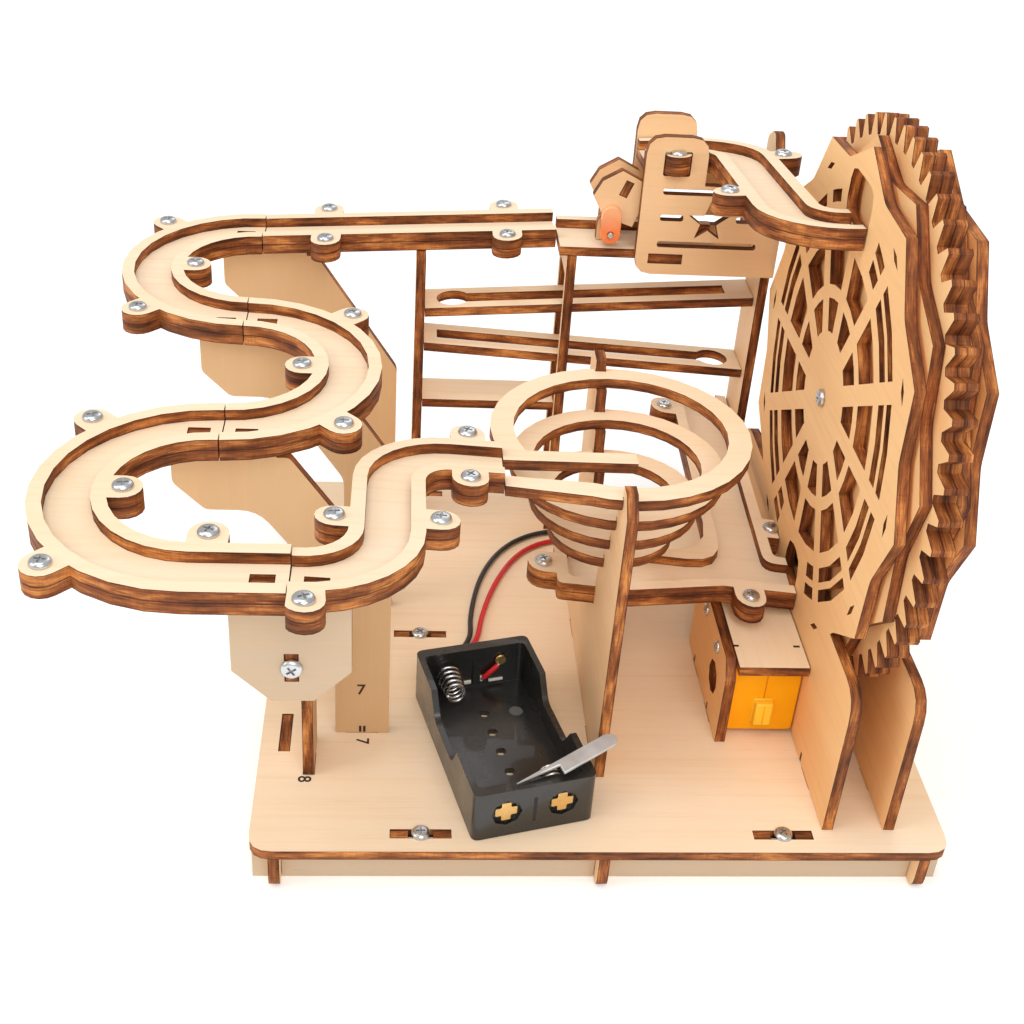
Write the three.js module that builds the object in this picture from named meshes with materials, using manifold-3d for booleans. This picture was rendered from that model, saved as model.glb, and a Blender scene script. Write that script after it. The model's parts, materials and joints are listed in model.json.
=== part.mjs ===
// Wooden marble run: a motor turns a lifting wheel, marbles leave it on an upper track, and a flipper
// sends them either down the curved run and the ring funnel or down the zigzag ramps, back to the tray.
// Millimetres, +Z up. Lengths below are taken across the base (X), from the front edge of the base
// plate (Y) and from the top of the base plate (Z). The group "deck" carries them to the part's own
// frame, whose origin is the centre of the base where the rails stand.
import * as THREE from 'three';
import { mergeVertices } from 'three/addons/utils/BufferGeometryUtils.js';
import Module from 'manifold-3d';

const wasm = await Module();
wasm.setup();

const { PI, cos, sin, tan, asin, atan2, hypot, min, ceil } = Math;
const DEGREE = PI / 180;
const QUARTER = PI / 2;

// Sheet stock and fits
const PLY = 2.8;
const SEAT = 0.15;
const SLIDE = 0.15;
const SEAM = 0.3;
const OVERCUT = 1;

// Base plate, rails and cross boards
const BASE_W = 176.7;
const BASE_D = 169.5;
const BASE_R = 6;
const RAIL_H = 10.8;
const RAIL_INSET = 6.35;
const RAIL_R = 4;
const RAIL_TAB_Y = 42.9;
const RAIL_TAB_L = 14.6;
const BOARD_INSET = 6;
const BOARD_END = 0.6;
const BOARD_MIDDLE_Y = 86.3;
const SCREW_INSET = 42.35;
const SCREW_SLOT_L = 15.4;
const SCREW_GAP = 6.4;
const TAB = 8;

// Track section: a floor sheet with wall strips on it, and round ears for the screws
const TRACK_HALF = 8.3;
const WALL = 3.3;
const EAR_R = 4.3;
const EAR_REACH = 3.3;
const EAR_ROOT = 1;
const JOINT_TAB = 5;
const JOINT_TAB_X = 5.5;
const ARC_STEP = 11.25 * DEGREE;

// Curved run on the left
const RUN_Y = 44.5;
const RUN_TOP = 94.8;
const RUN_DROP = 3.6;
const BEND_R = 28.25;
const BEND_LEAD = 1.4;
const LEAD_L = 19.6;
const ENTRY_L = 1;
const TURN_A = 18.5;
const TURN_B = 14.5;
const EXIT_L = 12.7;
const ENTRY_EAR = 2.6;
const RISE_EAR = 5.6;
const DIP_X = 2.76;
const DIP_Y = 4.04;
const STRAIGHT_L = 86.4;
const STRAIGHT_RISE = 5.4;
const STRAIGHT_EAR_A = 18.6;
const STRAIGHT_EAR_B = 71.6;

// Arm plates under the curved run, and the leaning support of its front end
const POST_GAP = 25.8;
const POST_W = 14.2;
const ARM_HEAD_HALF = 12.4;
const ARM_CHIN = 71;
const ARM_ELBOW = 51;
const ARM_ELBOW_R = 5;
const ARM_SHOULDER = 3;
const ARM_SHOULDER_R = 2;
const ARM_CHIN_W = 7.4;
const ARM_CHIN_H = 7.5;
const ARM_THROAT = 5;
const ARM_THROAT_R = 9;
const ARM_STEP_W = 9.5;
const ARM_STEP_H = 12;
const ARM_HEEL_H = 26;
const ARM_HEEL_R = 8;
const FRONT_HALF = 12.6;
const FRONT_BOTTOM = 59.8;
const FRONT_CHAMFER = 8;
const FRONT_SCREW_Z = 68.8;
const FRONT_KEY = 2.4;
const FRONT_KEY_GAP = 2.4;
const LEAN_FOOT_Y = 26.6;
const LEAN_FOOT_L = 14.4;
const LEAN_KNEE = 27;
const LEAN_BACK = 12;
const LEAN_HEAD = 9;
const LEAN_DROP = 2;
const LEAN_R = 4;

// Ring funnel and its rib
const FUNNEL_LEAD = 30.9;
const FUNNEL_Y = 64;
const RINGS = 4;
const RING_R = 33.3;
const RING_W = 5.9;
const RING_STEP = 5.6;
const RING_DROP = 9.5;
const RING_NOTCH = 1.6;
const RAIL_GAP = 7.1;
const INNER_RAIL_PAST = 2.4;
const RAIL_SPLAY = 0.5;
const MOUTH_EDGE = 8;
const RIB_SHIFT = 1.8;
const RIB_FRONT = 24;
const RIB_BACK = 106.6;
const RIB_FOOT_FRONT = 26.5;
const RIB_HORN = 3.2;
const RIB_CHAMFER = 4.5;

// Tray under the funnel, with the return track from the zigzag
const TRAY_REACH = 13.3;
const TRAY_FRONT = 56.8;
const TRAY_FRONT_RIGHT = 62.8;
const TRAY_BEND_A = 6.4;
const TRAY_BEND_B = 20.7;
const TRAY_CORNER_R = 1.5;
const TRAY_BEND_R = 8;
const TRAY_HEEL_R = 5;
const TRAY_BOWL_R = 4;
const TRAY_BACK_R = 14;
const TRAY_TOP = 40.1;
const TRAY_DROP = 7.29;
const TRAY_RISE = 8.26;
const TRAY_BACK = 160;
const MOUTH_W = 8.7;
const RETURN_INSET = 12.8;
const RETURN_W = 11.9;
const BOWL_W = 12.6;
const TRAY_EAR_FRONT = 13.5;
const TRAY_EAR_SIDE_Y = 91;
const TRAY_EAR_BACK_Y = 150;
const TRAY_EAR_LEFT_Y = 64.9;

// Lifting wheel
const WHEEL_Y = 75;
const WHEEL_Z = 88.9;
const FRAME_X = 56.5;
const FRAME_TIP = 67.4;
const FRAME_VALLEY = 61.4;
const FRAME_POINTS = 12;
const FOOT_HALF = 67.2;
const FOOT_H = 44;
const FOOT_R = 8;
const FOOT_TAB_Y = 48.4;
const SPOKE_HALF = 2.6;
const HUB_CELL_R = 17.5;
const HUB_CELL_H = 8.5;
const WEB_CELL_R = 29.5;
const WEB_CELL_H = 11;
const OUTER_CELL_R = 44.5;
const OUTER_CELL_H = 3.8;
const RIM_CELL_R = 50.2;
const RIM_CELL_H = 3.2;
const ARCH_SECTOR = 16 * DEGREE;
const LENS_R = 60;
const LENS_L = 6.4;
const LENS_W = 1.8;
const TOP_ARCH_W = 20;
const TOP_ARCH_H = 12.5;
const TOP_ARCH_SHIFT = 2;
const TOP_ARCH_R = 4;
const LOW_ARCH_W = 13;
const LOW_ARCH_H = 11.5;
const LOW_ARCH_R = 5;
const STAR_TIP = 67.7;
const STAR_VALLEY = 61.7;
const VALLEY_R = 7;
const STAR_PHASE = -8.4 * DEGREE;
const RUN_GAP = 1;
const PLATE_GAP = 0.2;
const SIDE_GAP = 0.6;
const GEAR_W = 5.6;
const GEAR_TEETH = 60;
const GEAR_TIP = 72.3;
const PINION_TEETH = 8;
const DEDENDUM = 1.3;
const ADDENDUM = 0.9;
const TIP_GAP = 0.6;
const GEAR_ROOT_SHARE = 0.36;
const GEAR_TIP_SHARE = 0.1;
const PINION_ROOT_SHARE = 0.2;
const PINION_TIP_SHARE = 0.07;
const POCKET_R = 51.5;
const POCKET_H = 11;
const POCKET_W = 10.5;
const POCKET_CORNER_R = 3;
const AXLE_R = 2;
const AXLE_HEAD_R = 2.6;
const AXLE_HEAD_H = 1.2;
const BORE_GAP = 0.1;

// Motor
const SHAFT_Y = 53.4;
const SHAFT_Z = 12.6;
const SHAFT_R = 2.7;
const BOX_W = 18.8;
const BOX_D = 33.8;
const BOX_H = 22.5;
const BOX_FRONT = 44.2;
const BOX_R = 1.2;
const NUB_W = 4.8;
const NUB_D = 2.4;
const NUB_Z = 3.55;
const NUB_H = 7.5;
const CAN_R = 10;
const CAN_FLAT = 7.7;
const CAN_L = 27;
const BOSS_R = 4;
const BOSS_H = 2;
const COVER_FRONT = 40;
const COVER_L = 44;
const BRACKET_FRONT = 40.6;
const BRACKET_L = 44;
const BRACKET_CHAMFER = 5;
const BRACKET_NOSE = 3.5;
const BRACKET_TAB = 12;
const SHAFT_HOLE_R = 3.4;
const BRACKET_HOLE_R = 4.9;

// Battery case, set down on the base at a slant
const CASE_GAP = 34.05;
const CASE_Y = 3.25;
const CASE_TURN = 14.4 * DEGREE;
const CASE_W = 32;
const CASE_L = 58;
const CASE_H = 15;
const CASE_WALL = 1.7;
const CASE_END = 3;
const CASE_FLOOR = 1.8;
const CASE_SCOOP = 7;
const CASE_CORNER_R = 2;
const CAVITY_R = 1.5;
const SCOOP_FRONT = 15.7;
const SCOOP_REAR = 16.2;
const SCOOP_SLOPE = 5;
const SCOOP_R = 4;
const VENT_R = 1.4;
const VENTS = 4;
const VENT_Y = 19.8;
const VENT_PITCH = 7.8;
const CELL_Z = 7.7;
const CELL_INSET = 8.64;
const RECESS_R = 4;
const RECESS_D = 1.2;
const SPRING_R = 3.3;
const SPRING_WIRE = 0.8;
const SPRING_CURLS = 5;
const SPRING_L = 8.5;
const SPRING_NARROWS = 0.25;
const CONTACT_T = 0.5;
const PETALS = 4;
const PETAL_R = 3.2;
const PETAL_HALF = 25 * DEGREE;
const PETAL_VALLEY = 1.7;
const PETAL_TIP_R = 0.45;
const RIVET_INSET = 8.3;
const RIVET_Z = 10.4;
const RIVET_R = 1.7;
const RIVET_T = 0.7;
const STRIP_W = 4.4;
const STRIP_NECK = 12;
const STRIP_NECK_W = 1.6;
const STRIP_STEP = 0.6;
const STRIP_L = 29;
const STRIP_T = 0.8;
const STRIP_LIFT = 3.65;
const STRIP_TURN = 17.4 * DEGREE;
const STRIP_U = 11;

// Leads from the case to the motor
const LEAD_D = 1.5;
const LEAD_STEPS = 42;
const LEAD_EXIT_Z = 4;
const LEAD_SPREAD = 3;
const TERMINAL_X = 5.8;

// Zigzag frame at the back
const ZIG_GAP = 6.6;
const ZIG_MIDDLE = -3.8;
const ZIG_INSET = 1.6;
const ZIG_FRONT = 143.2;
const ZIG_DEPTH = 20.2;
const ZIG_BAR = 3;
const ZIG_TAB_Y = 8.5;
const ZIG_R = 3;
const ZIG_WINDOW_R = 1;
const HORN_SLOPE = 12;
const HORN_TIP = 8;
const HORN_R = 2;
const ZIG_RIGHT_TOP = 133;
const ZIG_WINDOW_LOW = 14;
const ZIG_WINDOW_HIGH = 90;
const RAMP_W = 13.8;
const RAMP_SLOT = 5.8;
const RAMP_HOLE_R = 5.1;
const RAMP_HOLE_EDGE = 8.6;
const RAMP_STOP = 8;
const RAMP_2_STOP = 4;
const RAMP_1_LEFT = 77;
const RAMP_1_RIGHT = 84;
const RAMP_2_LEFT = 65.6;
const RAMP_2_RIGHT = 59.5;
const BOARD_TOP = 46;

// Gate plates, flipper bed and flipper
const GATE_LEFT = 14.3;
const GATE_LOBE_W = 17.7;
const GATE_BOTTOM = 93.5;
const GATE_TOP = 134.8;
const GATE_R = 5;
const GATE_SHOULDER_W = 14;
const GATE_SHOULDER_H = 12;
const GATE_SHOULDER_R = 6;
const SLIT_IN = 5.9;
const SLIT_H = 1.9;
const SLIT_R = 0.8;
const SLIT_LOW_Z = 8.5;
const SLIT_LOW_L = 29.2;
const SLIT_MIDDLE_Z = 16.6;
const SLIT_SHORT_L = 6.8;
const SLIT_FAR = 28.1;
const SLIT_HIGH_Z = 24.5;
const SLIT_HIGH_L = 19.8;
const REAR_SLIT_H = 3.2;
const REAR_SLIT_LOW_Z = 7.7;
const REAR_SLIT_HIGH_Z = 15.5;
const GATE_STAR_X = 20.2;
const GATE_STAR_R = 6.2;
const GATE_STAR_VALLEY = 2.5;
const BED_LEFT = -7.6;
const BED_L = 46.6;
const BED_Z = 97;
const BED_TAB_L = 9.8;
const BED_TAB_X = 23.15;
const PIVOT_X = 6.7;
const PIVOT_Z = 104.2;
const PIN_R = 0.9;
const PIN_HEAD = 1;
const HUB_R = 2.9;
const HUB_T = 1.8;
const HUB_ARM = 5.5;
const FLIPPER_SIDE = 1.4;
const FLIPPER_W = 12.1;
const YOKE_HALF = 3.2;
const YOKE_R = 2.5;
const NECK_HALF = 2.2;
const NECK_TOP = 4.6;
const HEAD_BACK = 5.7;
const HEAD_NOSE = 9.6;
const HEAD_WAIST = 11;
const HEAD_SHOULDER = 15.5;
const HEAD_TOP = 18.7;
const HEAD_CROWN = 2.1;
const HEAD_CUT = 2.4;
const CHIN_X = 6.4;
const CHIN_Z = 1.9;
const SPACER_X = 3.7;
const SPACER_Z = 13.3;
const SPACER_HALF_W = 1.1;
const SPACER_HALF_L = 2.3;
const SPACER_TURN = 22 * DEGREE;

// Upper track from the wheel to the gate
const UPPER_TOP = 138.3;
const UPPER_INSET = 14.4;
const UPPER_R = 14;
const UPPER_END_IN = 8.5;
const UPPER_END_X = 14.5;
const UPPER_DROP_X = 2.5;
const UPPER_DROP_Y = 7.52;
const UPPER_EAR_Y = 101.5;
const WINDOW_X = 23.4;
const WINDOW_HALF = 3.9;
const WINDOW_SPARE = 0.8;
const WINDOW_R = 0.6;

// Places that follow from the sizes above
const railX = BASE_W / 2 - RAIL_INSET;
const screwX = BASE_W / 2 - SCREW_INSET;
const runX = BED_LEFT - 2 * SEAM - STRAIGHT_L;
const postLeft = runX + POST_GAP;
const postRight = postLeft + POST_W;
const runY = (joint) => RUN_Y + (2 - joint) * 2 * BEND_R;
const leadX = runX + LEAD_L;
const runEndX = leadX + ENTRY_L + TURN_A + TURN_B + EXIT_L;
const funnelX = runEndX + FUNNEL_LEAD;
const ribX = funnelX - RIB_SHIFT;
const caseX = ribX - CASE_GAP;
const runTop = (x, y) => RUN_TOP + RUN_DROP * (y - RUN_Y) / (runY(0) - runY(3));
const dipTop = (x, y) => runTop(leadX, runY(3)) - DIP_X * (x - leadX) / (runEndX - leadX)
  - DIP_Y * (y - runY(3)) / (RUN_Y - runY(3));
const straightTop = (x) => runTop(runX, runY(0)) + STRAIGHT_RISE * (x - runX) / STRAIGHT_L;
const ringTop = (ring) => dipTop(runEndX, RUN_Y) - PLY - ring * RING_DROP;
const ringRadius = (ring) => RING_R - ring * RING_STEP;
const trayRight = FRAME_X - SEAM;
const trayLeft = funnelX - TRAY_REACH;
const trayFallX = TRAY_DROP / (trayRight - trayLeft);
const trayTop = (x, y) => TRAY_TOP - trayFallX * x + TRAY_RISE * (y - TRAY_FRONT) / (TRAY_BACK - TRAY_FRONT);
const returnX = trayRight - RETURN_INSET;
const upperX = trayRight - UPPER_INSET;
const upperEndY = ZIG_FRONT + UPPER_END_IN;
const upperTop = (x, y) => UPPER_TOP + UPPER_DROP_X * (x - trayRight) / (trayRight - UPPER_END_X)
  - UPPER_DROP_Y * (y - WHEEL_Y) / (upperEndY - WHEEL_Y);
const zigLeft = postRight + ZIG_GAP;
const zigRight = trayRight - ZIG_INSET;
const bedRight = BED_LEFT + BED_L;
const flipperFront = ZIG_FRONT + FLIPPER_SIDE;
const starX = FRAME_X + PLY + RUN_GAP;
const gearX = starX + PLY + PLATE_GAP;
const backStarX = gearX + GEAR_W + PLATE_GAP;
const backFrameX = backStarX + PLY + SIDE_GAP;
const gateRearY = ZIG_FRONT + ZIG_DEPTH - PLY;
const rampY = (ZIG_FRONT + ZIG_BAR + gateRearY) / 2;
const boxRight = FRAME_X - SEAM;
const boxLeft = boxRight - BOX_W;
const boxMiddle = boxRight - BOX_W / 2;
const canY = BOX_FRONT + BOX_D + SEAT;
const canBack = canY + CAN_L;
const boxTop = SHAFT_Z + BOX_H / 2;
const coverTop = boxTop + SEAT + PLY;
const shaftReach = hypot(WHEEL_Y - SHAFT_Y, WHEEL_Z - SHAFT_Z);
const toothModule = 2 * shaftReach / (GEAR_TEETH + PINION_TEETH);
const shaftBearing = atan2(SHAFT_Z - WHEEL_Z, SHAFT_Y - WHEEL_Y);

// Scene graph
const model = new THREE.Group();
const deck = new THREE.Group();
deck.position.set(0, -BASE_D / 2, RAIL_H + PLY);
model.add(deck);

function add(name, geometry, material) {
  const mesh = new THREE.Mesh(geometry, material);
  mesh.name = name;
  deck.add(mesh);
}

// Finishes
const finish = (color, roughness, metalness) =>
  new THREE.MeshStandardMaterial({ color, roughness, metalness });
const plywood = () => finish(0xe6c392, 0.62, 0);
const steel = () => finish(0xc9ccd0, 0.3, 1);
const brass = () => finish(0xc9a24a, 0.35, 1);
const blackPlastic = () => finish(0x1d2022, 0.45, 0);
const yellowPlastic = () => finish(0xf2a21c, 0.4, 0);
const orangePlastic = () => finish(0xee6a2a, 0.35, 0);
const silverSheet = () => finish(0x9b9da0, 0.35, 0.8);
const leadSleeve = (color) => finish(color, 0.5, 0);

// Solids: joining and cutting closed meshes
function toSolid(geometry) {
  const bare = geometry.clone();
  bare.deleteAttribute('normal');
  bare.deleteAttribute('uv');
  const welded = mergeVertices(bare);
  const vertProperties = new Float32Array(welded.attributes.position.array);
  const triVerts = new Uint32Array(welded.index.array);
  return new wasm.Manifold(new wasm.Mesh({ numProp: 3, vertProperties, triVerts }));
}

function toGeometry(solid) {
  const mesh = solid.getMesh();
  const geometry = new THREE.BufferGeometry();
  geometry.setAttribute('position', new THREE.BufferAttribute(new Float32Array(mesh.vertProperties), 3));
  geometry.setIndex(new THREE.BufferAttribute(new Uint32Array(mesh.triVerts), 1));
  return geometry;
}

function fuse(geometry, others) {
  return toGeometry(others.reduce((solid, other) => solid.add(toSolid(other)), toSolid(geometry)));
}

function carve(geometry, tools) {
  return toGeometry(tools.reduce((solid, tool) => solid.subtract(toSolid(tool)), toSolid(geometry)));
}

// Outlines: corners [x, y] or [x, y, radius] in order, closed by themselves
function trace(path, corners) {
  corners.forEach(([x, y, radius = 0], i) => {
    const [px, py] = corners[(i + corners.length - 1) % corners.length];
    const [nx, ny] = corners[(i + 1) % corners.length];
    const before = hypot(px - x, py - y);
    const after = hypot(nx - x, ny - y);
    const ux = (px - x) / before;
    const uy = (py - y) / before;
    const vx = (nx - x) / after;
    const vy = (ny - y) / after;
    const half = Math.acos(Math.max(-1, min(1, ux * vx + uy * vy))) / 2;
    const reach = radius === 0 ? 0 : min(radius / tan(half), before * 0.48, after * 0.48);
    if (i === 0) path.moveTo(x + ux * reach, y + uy * reach);
    else path.lineTo(x + ux * reach, y + uy * reach);
    if (reach > 0) path.quadraticCurveTo(x, y, x + vx * reach, y + vy * reach);
  });
  path.closePath();
  return path;
}

const outline = (corners) => trace(new THREE.Shape(), corners);
const opening = (corners) => trace(new THREE.Path(), corners);
const block = (x0, y0, x1, y1, radius = 0) =>
  [[x0, y0, radius], [x1, y0, radius], [x1, y1, radius], [x0, y1, radius]];
const disc = (x, y, radius) => new THREE.Shape().absarc(x, y, radius, 0, 2 * PI);
const bore = (x, y, radius) => new THREE.Path().absarc(x, y, radius, 0, 2 * PI, true);

function sheet(shape, { holes = [], depth = PLY, segments = 4 } = {}) {
  for (const piece of [shape].flat()) piece.holes.push(...holes);
  return new THREE.ExtrudeGeometry(shape, { depth, bevelEnabled: false, curveSegments: segments });
}

// A sheet is drawn flat, then laid at a height, stood facing the front or stood facing the side.
const SIDE = new THREE.Matrix4().makeBasis(
  new THREE.Vector3(0, 1, 0),
  new THREE.Vector3(0, 0, 1),
  new THREE.Vector3(1, 0, 0),
);
const lay = (geometry, bottom) => geometry.translate(0, 0, bottom);
const drill = (geometry, x, y, radius) => carve(geometry, [
  lay(sheet(disc(x, y, radius), { depth: 4 * GEAR_W, segments: 8 }), -GEAR_W),
]);
const face = (geometry, front, depth = PLY) => geometry.rotateX(QUARTER).translate(0, front + depth, 0);
const stand = (geometry, left) => geometry.applyMatrix4(SIDE).translate(left, 0, 0);
const brick = (x0, x1, y0, y1, z0, z1) => lay(sheet(outline(block(x0, y0, x1, y1)), { depth: z1 - z0 }), z0);

// Tilts a flat piece so that its top follows a sloping surface.
function settle(geometry, top, height) {
  const place = geometry.attributes.position;
  for (let i = 0; i < place.count; i += 1) {
    place.setZ(i, place.getZ(i) - height + top(place.getX(i), place.getY(i)));
  }
  return geometry;
}

// Feet: the bottom edge of a standing plate with tabs that drop into slots of the base plate.
const baseSlots = [];
function foot(from, to, tabs, slotAt) {
  const edge = [[from, SEAT]];
  for (const centre of tabs) {
    edge.push([centre - TAB / 2, SEAT], [centre - TAB / 2, SEAT - PLY]);
    edge.push([centre + TAB / 2, SEAT - PLY], [centre + TAB / 2, SEAT]);
    baseSlots.push(slotAt(centre));
  }
  edge.push([to, SEAT]);
  return edge;
}

const slotHalf = PLY / 2 + SLIDE;
const tabHalf = TAB / 2 + SLIDE;
const footFacing = (from, to, y, tabs) =>
  foot(from, to, tabs, (x) => block(x - tabHalf, y - slotHalf, x + tabHalf, y + slotHalf));
const footSideways = (from, to, x, tabs) =>
  foot(from, to, tabs, (y) => block(x - slotHalf, y - tabHalf, x + slotHalf, y + tabHalf));

// Routes of the tracks: straights and bends walked from a start and a heading
const ahead = (length) => [length, 0];
const left = (radius, angle) => [radius * angle, radius];
const right = (radius, angle) => [radius * angle, -radius];

function along({ x, y, heading, bend }, s) {
  if (bend === 0) return [x + s * cos(heading), y + s * sin(heading), heading];
  const end = heading + s / bend;
  return [x + bend * (sin(end) - sin(heading)), y - bend * (cos(end) - cos(heading)), end];
}

function route(x, y, heading, moves) {
  const legs = [];
  let pose = [x, y, heading];
  for (const [length, bend] of moves) {
    const leg = { x: pose[0], y: pose[1], heading: pose[2], length, bend };
    legs.push(leg);
    pose = along(leg, length);
  }
  return legs;
}

function poseAt(legs, s) {
  let rest = s;
  for (const leg of legs) {
    if (rest <= leg.length || leg === legs.at(-1)) return along(leg, rest);
    rest -= leg.length;
  }
  return null;
}

function poses(legs, extra) {
  const list = [along({ ...legs[0], bend: 0 }, -extra)];
  for (const leg of legs) {
    const steps = leg.bend === 0 ? 1 : ceil(leg.length / Math.abs(leg.bend) / ARC_STEP);
    for (let i = 1; i <= steps; i += 1) list.push(along(leg, leg.length * i / steps));
  }
  const [x, y, heading] = list.pop();
  list.push([x + extra * cos(heading), y + extra * sin(heading), heading]);
  return list;
}

function strip(legs, half, extra) {
  const walked = poses(legs, extra);
  const port = walked.map(([x, y, h]) => [x - half * sin(h), y + half * cos(h)]);
  const starboard = walked.map(([x, y, h]) => [x + half * sin(h), y - half * cos(h)]);
  return outline([...starboard, ...port.reverse()]);
}

// A screw ear stands out from the track's edge at a distance along it; side is 1 on the left and -1
// on the right.
function tongue(root, reach, radius) {
  const shape = new THREE.Shape();
  shape.moveTo(root, -radius);
  shape.lineTo(reach, -radius);
  shape.absarc(reach, 0, radius, -QUARTER, QUARTER);
  shape.lineTo(root, radius);
  shape.closePath();
  return sheet(shape, { depth: 2 * PLY });
}

function ear(legs, s, side, reach = EAR_REACH, radius = EAR_R) {
  const [x, y, heading] = poseAt(legs, s);
  const shape = tongue(TRACK_HALF - EAR_ROOT, TRACK_HALF + reach, radius);
  return shape.rotateZ(heading + side * QUARTER).translate(x, y, 0);
}

function jointSlots(x, y) {
  const half = JOINT_TAB / 2 + SLIDE;
  const tool = (centre) =>
    brick(centre - half, centre + half, y - slotHalf, y + slotHalf, -OVERCUT, PLY + OVERCUT);
  return [tool(x - JOINT_TAB_X), tool(x + JOINT_TAB_X)];
}

function track(legs, ears, slots, top, trims = []) {
  const bed = sheet(strip(legs, TRACK_HALF, -SEAM / 2), { depth: 2 * PLY });
  const channel = lay(sheet(strip(legs, TRACK_HALF - WALL, OVERCUT), { depth: 2 * PLY }), PLY);
  return settle(carve(fuse(bed, ears), [channel, ...slots, ...trims]), top, 2 * PLY);
}

// Curved run
const bendL = PI * BEND_R;
const straightRoute = route(runX, runY(0), 0, [ahead(STRAIGHT_L)]);
const curve1 = route(runX, runY(0), PI, [left(BEND_R, PI)]);
const curve2 = route(runX, runY(1), 0, [right(BEND_R, PI)]);
const curve3 = route(runX, runY(2), PI, [ahead(BEND_LEAD), left(BEND_R, PI), ahead(BEND_LEAD + LEAD_L)]);
const riseL = RUN_Y - runY(3) - TURN_A - TURN_B;
const curve4 = route(leadX, runY(3), 0, [
  ahead(ENTRY_L), left(TURN_A, QUARTER), ahead(riseL), right(TURN_B, QUARTER), ahead(EXIT_L),
]);
const riseStart = ENTRY_L + TURN_A * QUARTER;
const exitStart = riseStart + riseL + TURN_B * QUARTER;
const frontSlots = jointSlots(leadX, runY(3));

function curveTracks() {
  const bendEars = (legs, inner, start = 0) => [
    ear(legs, start + bendL / 4, -inner),
    ear(legs, start + bendL / 2, inner),
    ear(legs, start + bendL * 3 / 4, -inner),
  ];
  const straightEars = [STRAIGHT_EAR_A, STRAIGHT_EAR_B].flatMap((s) => [
    ear(straightRoute, s, 1), ear(straightRoute, s, -1),
  ]);
  const ears4 = [
    ear(curve4, ENTRY_EAR, -1), ear(curve4, riseStart + EAR_R, 1), ear(curve4, riseStart + RISE_EAR, -1),
    ear(curve4, exitStart + EAR_R, 1), ear(curve4, exitStart + EAR_R, -1),
  ];
  const slots = [0, 1, 2].map((joint) => jointSlots(runX, runY(joint)));
  add('straight_track', track(straightRoute, straightEars, slots[0], straightTop), plywood());
  add('curve_track_1', track(curve1, bendEars(curve1, 1), [...slots[0], ...slots[1]], runTop), plywood());
  add('curve_track_2', track(curve2, bendEars(curve2, -1), [...slots[1], ...slots[2]], runTop), plywood());
  const ears3 = [...bendEars(curve3, 1, BEND_LEAD), ear(curve3, bendL + 2 * BEND_LEAD + EAR_R / 2, 1)];
  add('curve_track_3', track(curve3, ears3, [...slots[2], ...frontSlots], runTop), plywood());
  const reach = TRACK_HALF + 2 * EAR_R;
  const seam = leadX + SEAM / 2;
  const trim = brick(seam - EAR_R, seam, runY(3) - reach, runY(3) + reach, -OVERCUT, 2 * PLY + OVERCUT);
  add('curve_track_4', track(curve4, ears4, frontSlots, dipTop, [trim]), plywood());
}

// Tabs on the top edge of a plate that reach up into the floor of two tracks, from right to left.
function topTabs(centre, edge, tip) {
  return [1, -1].flatMap((side) => {
    const right = centre + side * JOINT_TAB_X + JOINT_TAB / 2;
    const left = right - JOINT_TAB;
    return [[right, edge], [right, tip], [left, tip], [left, edge]];
  });
}

function armPlate(name, joint) {
  const y = runY(joint);
  const edge = runTop(runX, y) - 2 * PLY - SEAT;
  const tip = edge + PLY - SEAT;
  const headRight = runX + ARM_HEAD_HALF;
  const headLeft = runX - ARM_HEAD_HALF;
  const shape = outline([
    ...footFacing(postLeft, postRight, y, [(postLeft + postRight) / 2]),
    [postRight, ARM_ELBOW, ARM_ELBOW_R], [headRight + ARM_SHOULDER, edge - ARM_SHOULDER, ARM_SHOULDER_R],
    [headRight, edge - ARM_SHOULDER], [headRight, edge],
    ...topTabs(runX, edge, tip),
    [headLeft, edge], [headLeft, ARM_CHIN + ARM_CHIN_H, ARM_SHOULDER],
    [headLeft + ARM_CHIN_W, ARM_CHIN, ARM_SHOULDER], [headRight - ARM_THROAT, ARM_CHIN, ARM_THROAT_R],
    [postLeft - ARM_STEP_W, ARM_CHIN - ARM_STEP_H, ARM_THROAT_R],
    [postLeft, ARM_CHIN - ARM_HEEL_H, ARM_HEEL_R],
  ]);
  add(name, face(sheet(shape), y - PLY / 2), plywood());
}

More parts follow.
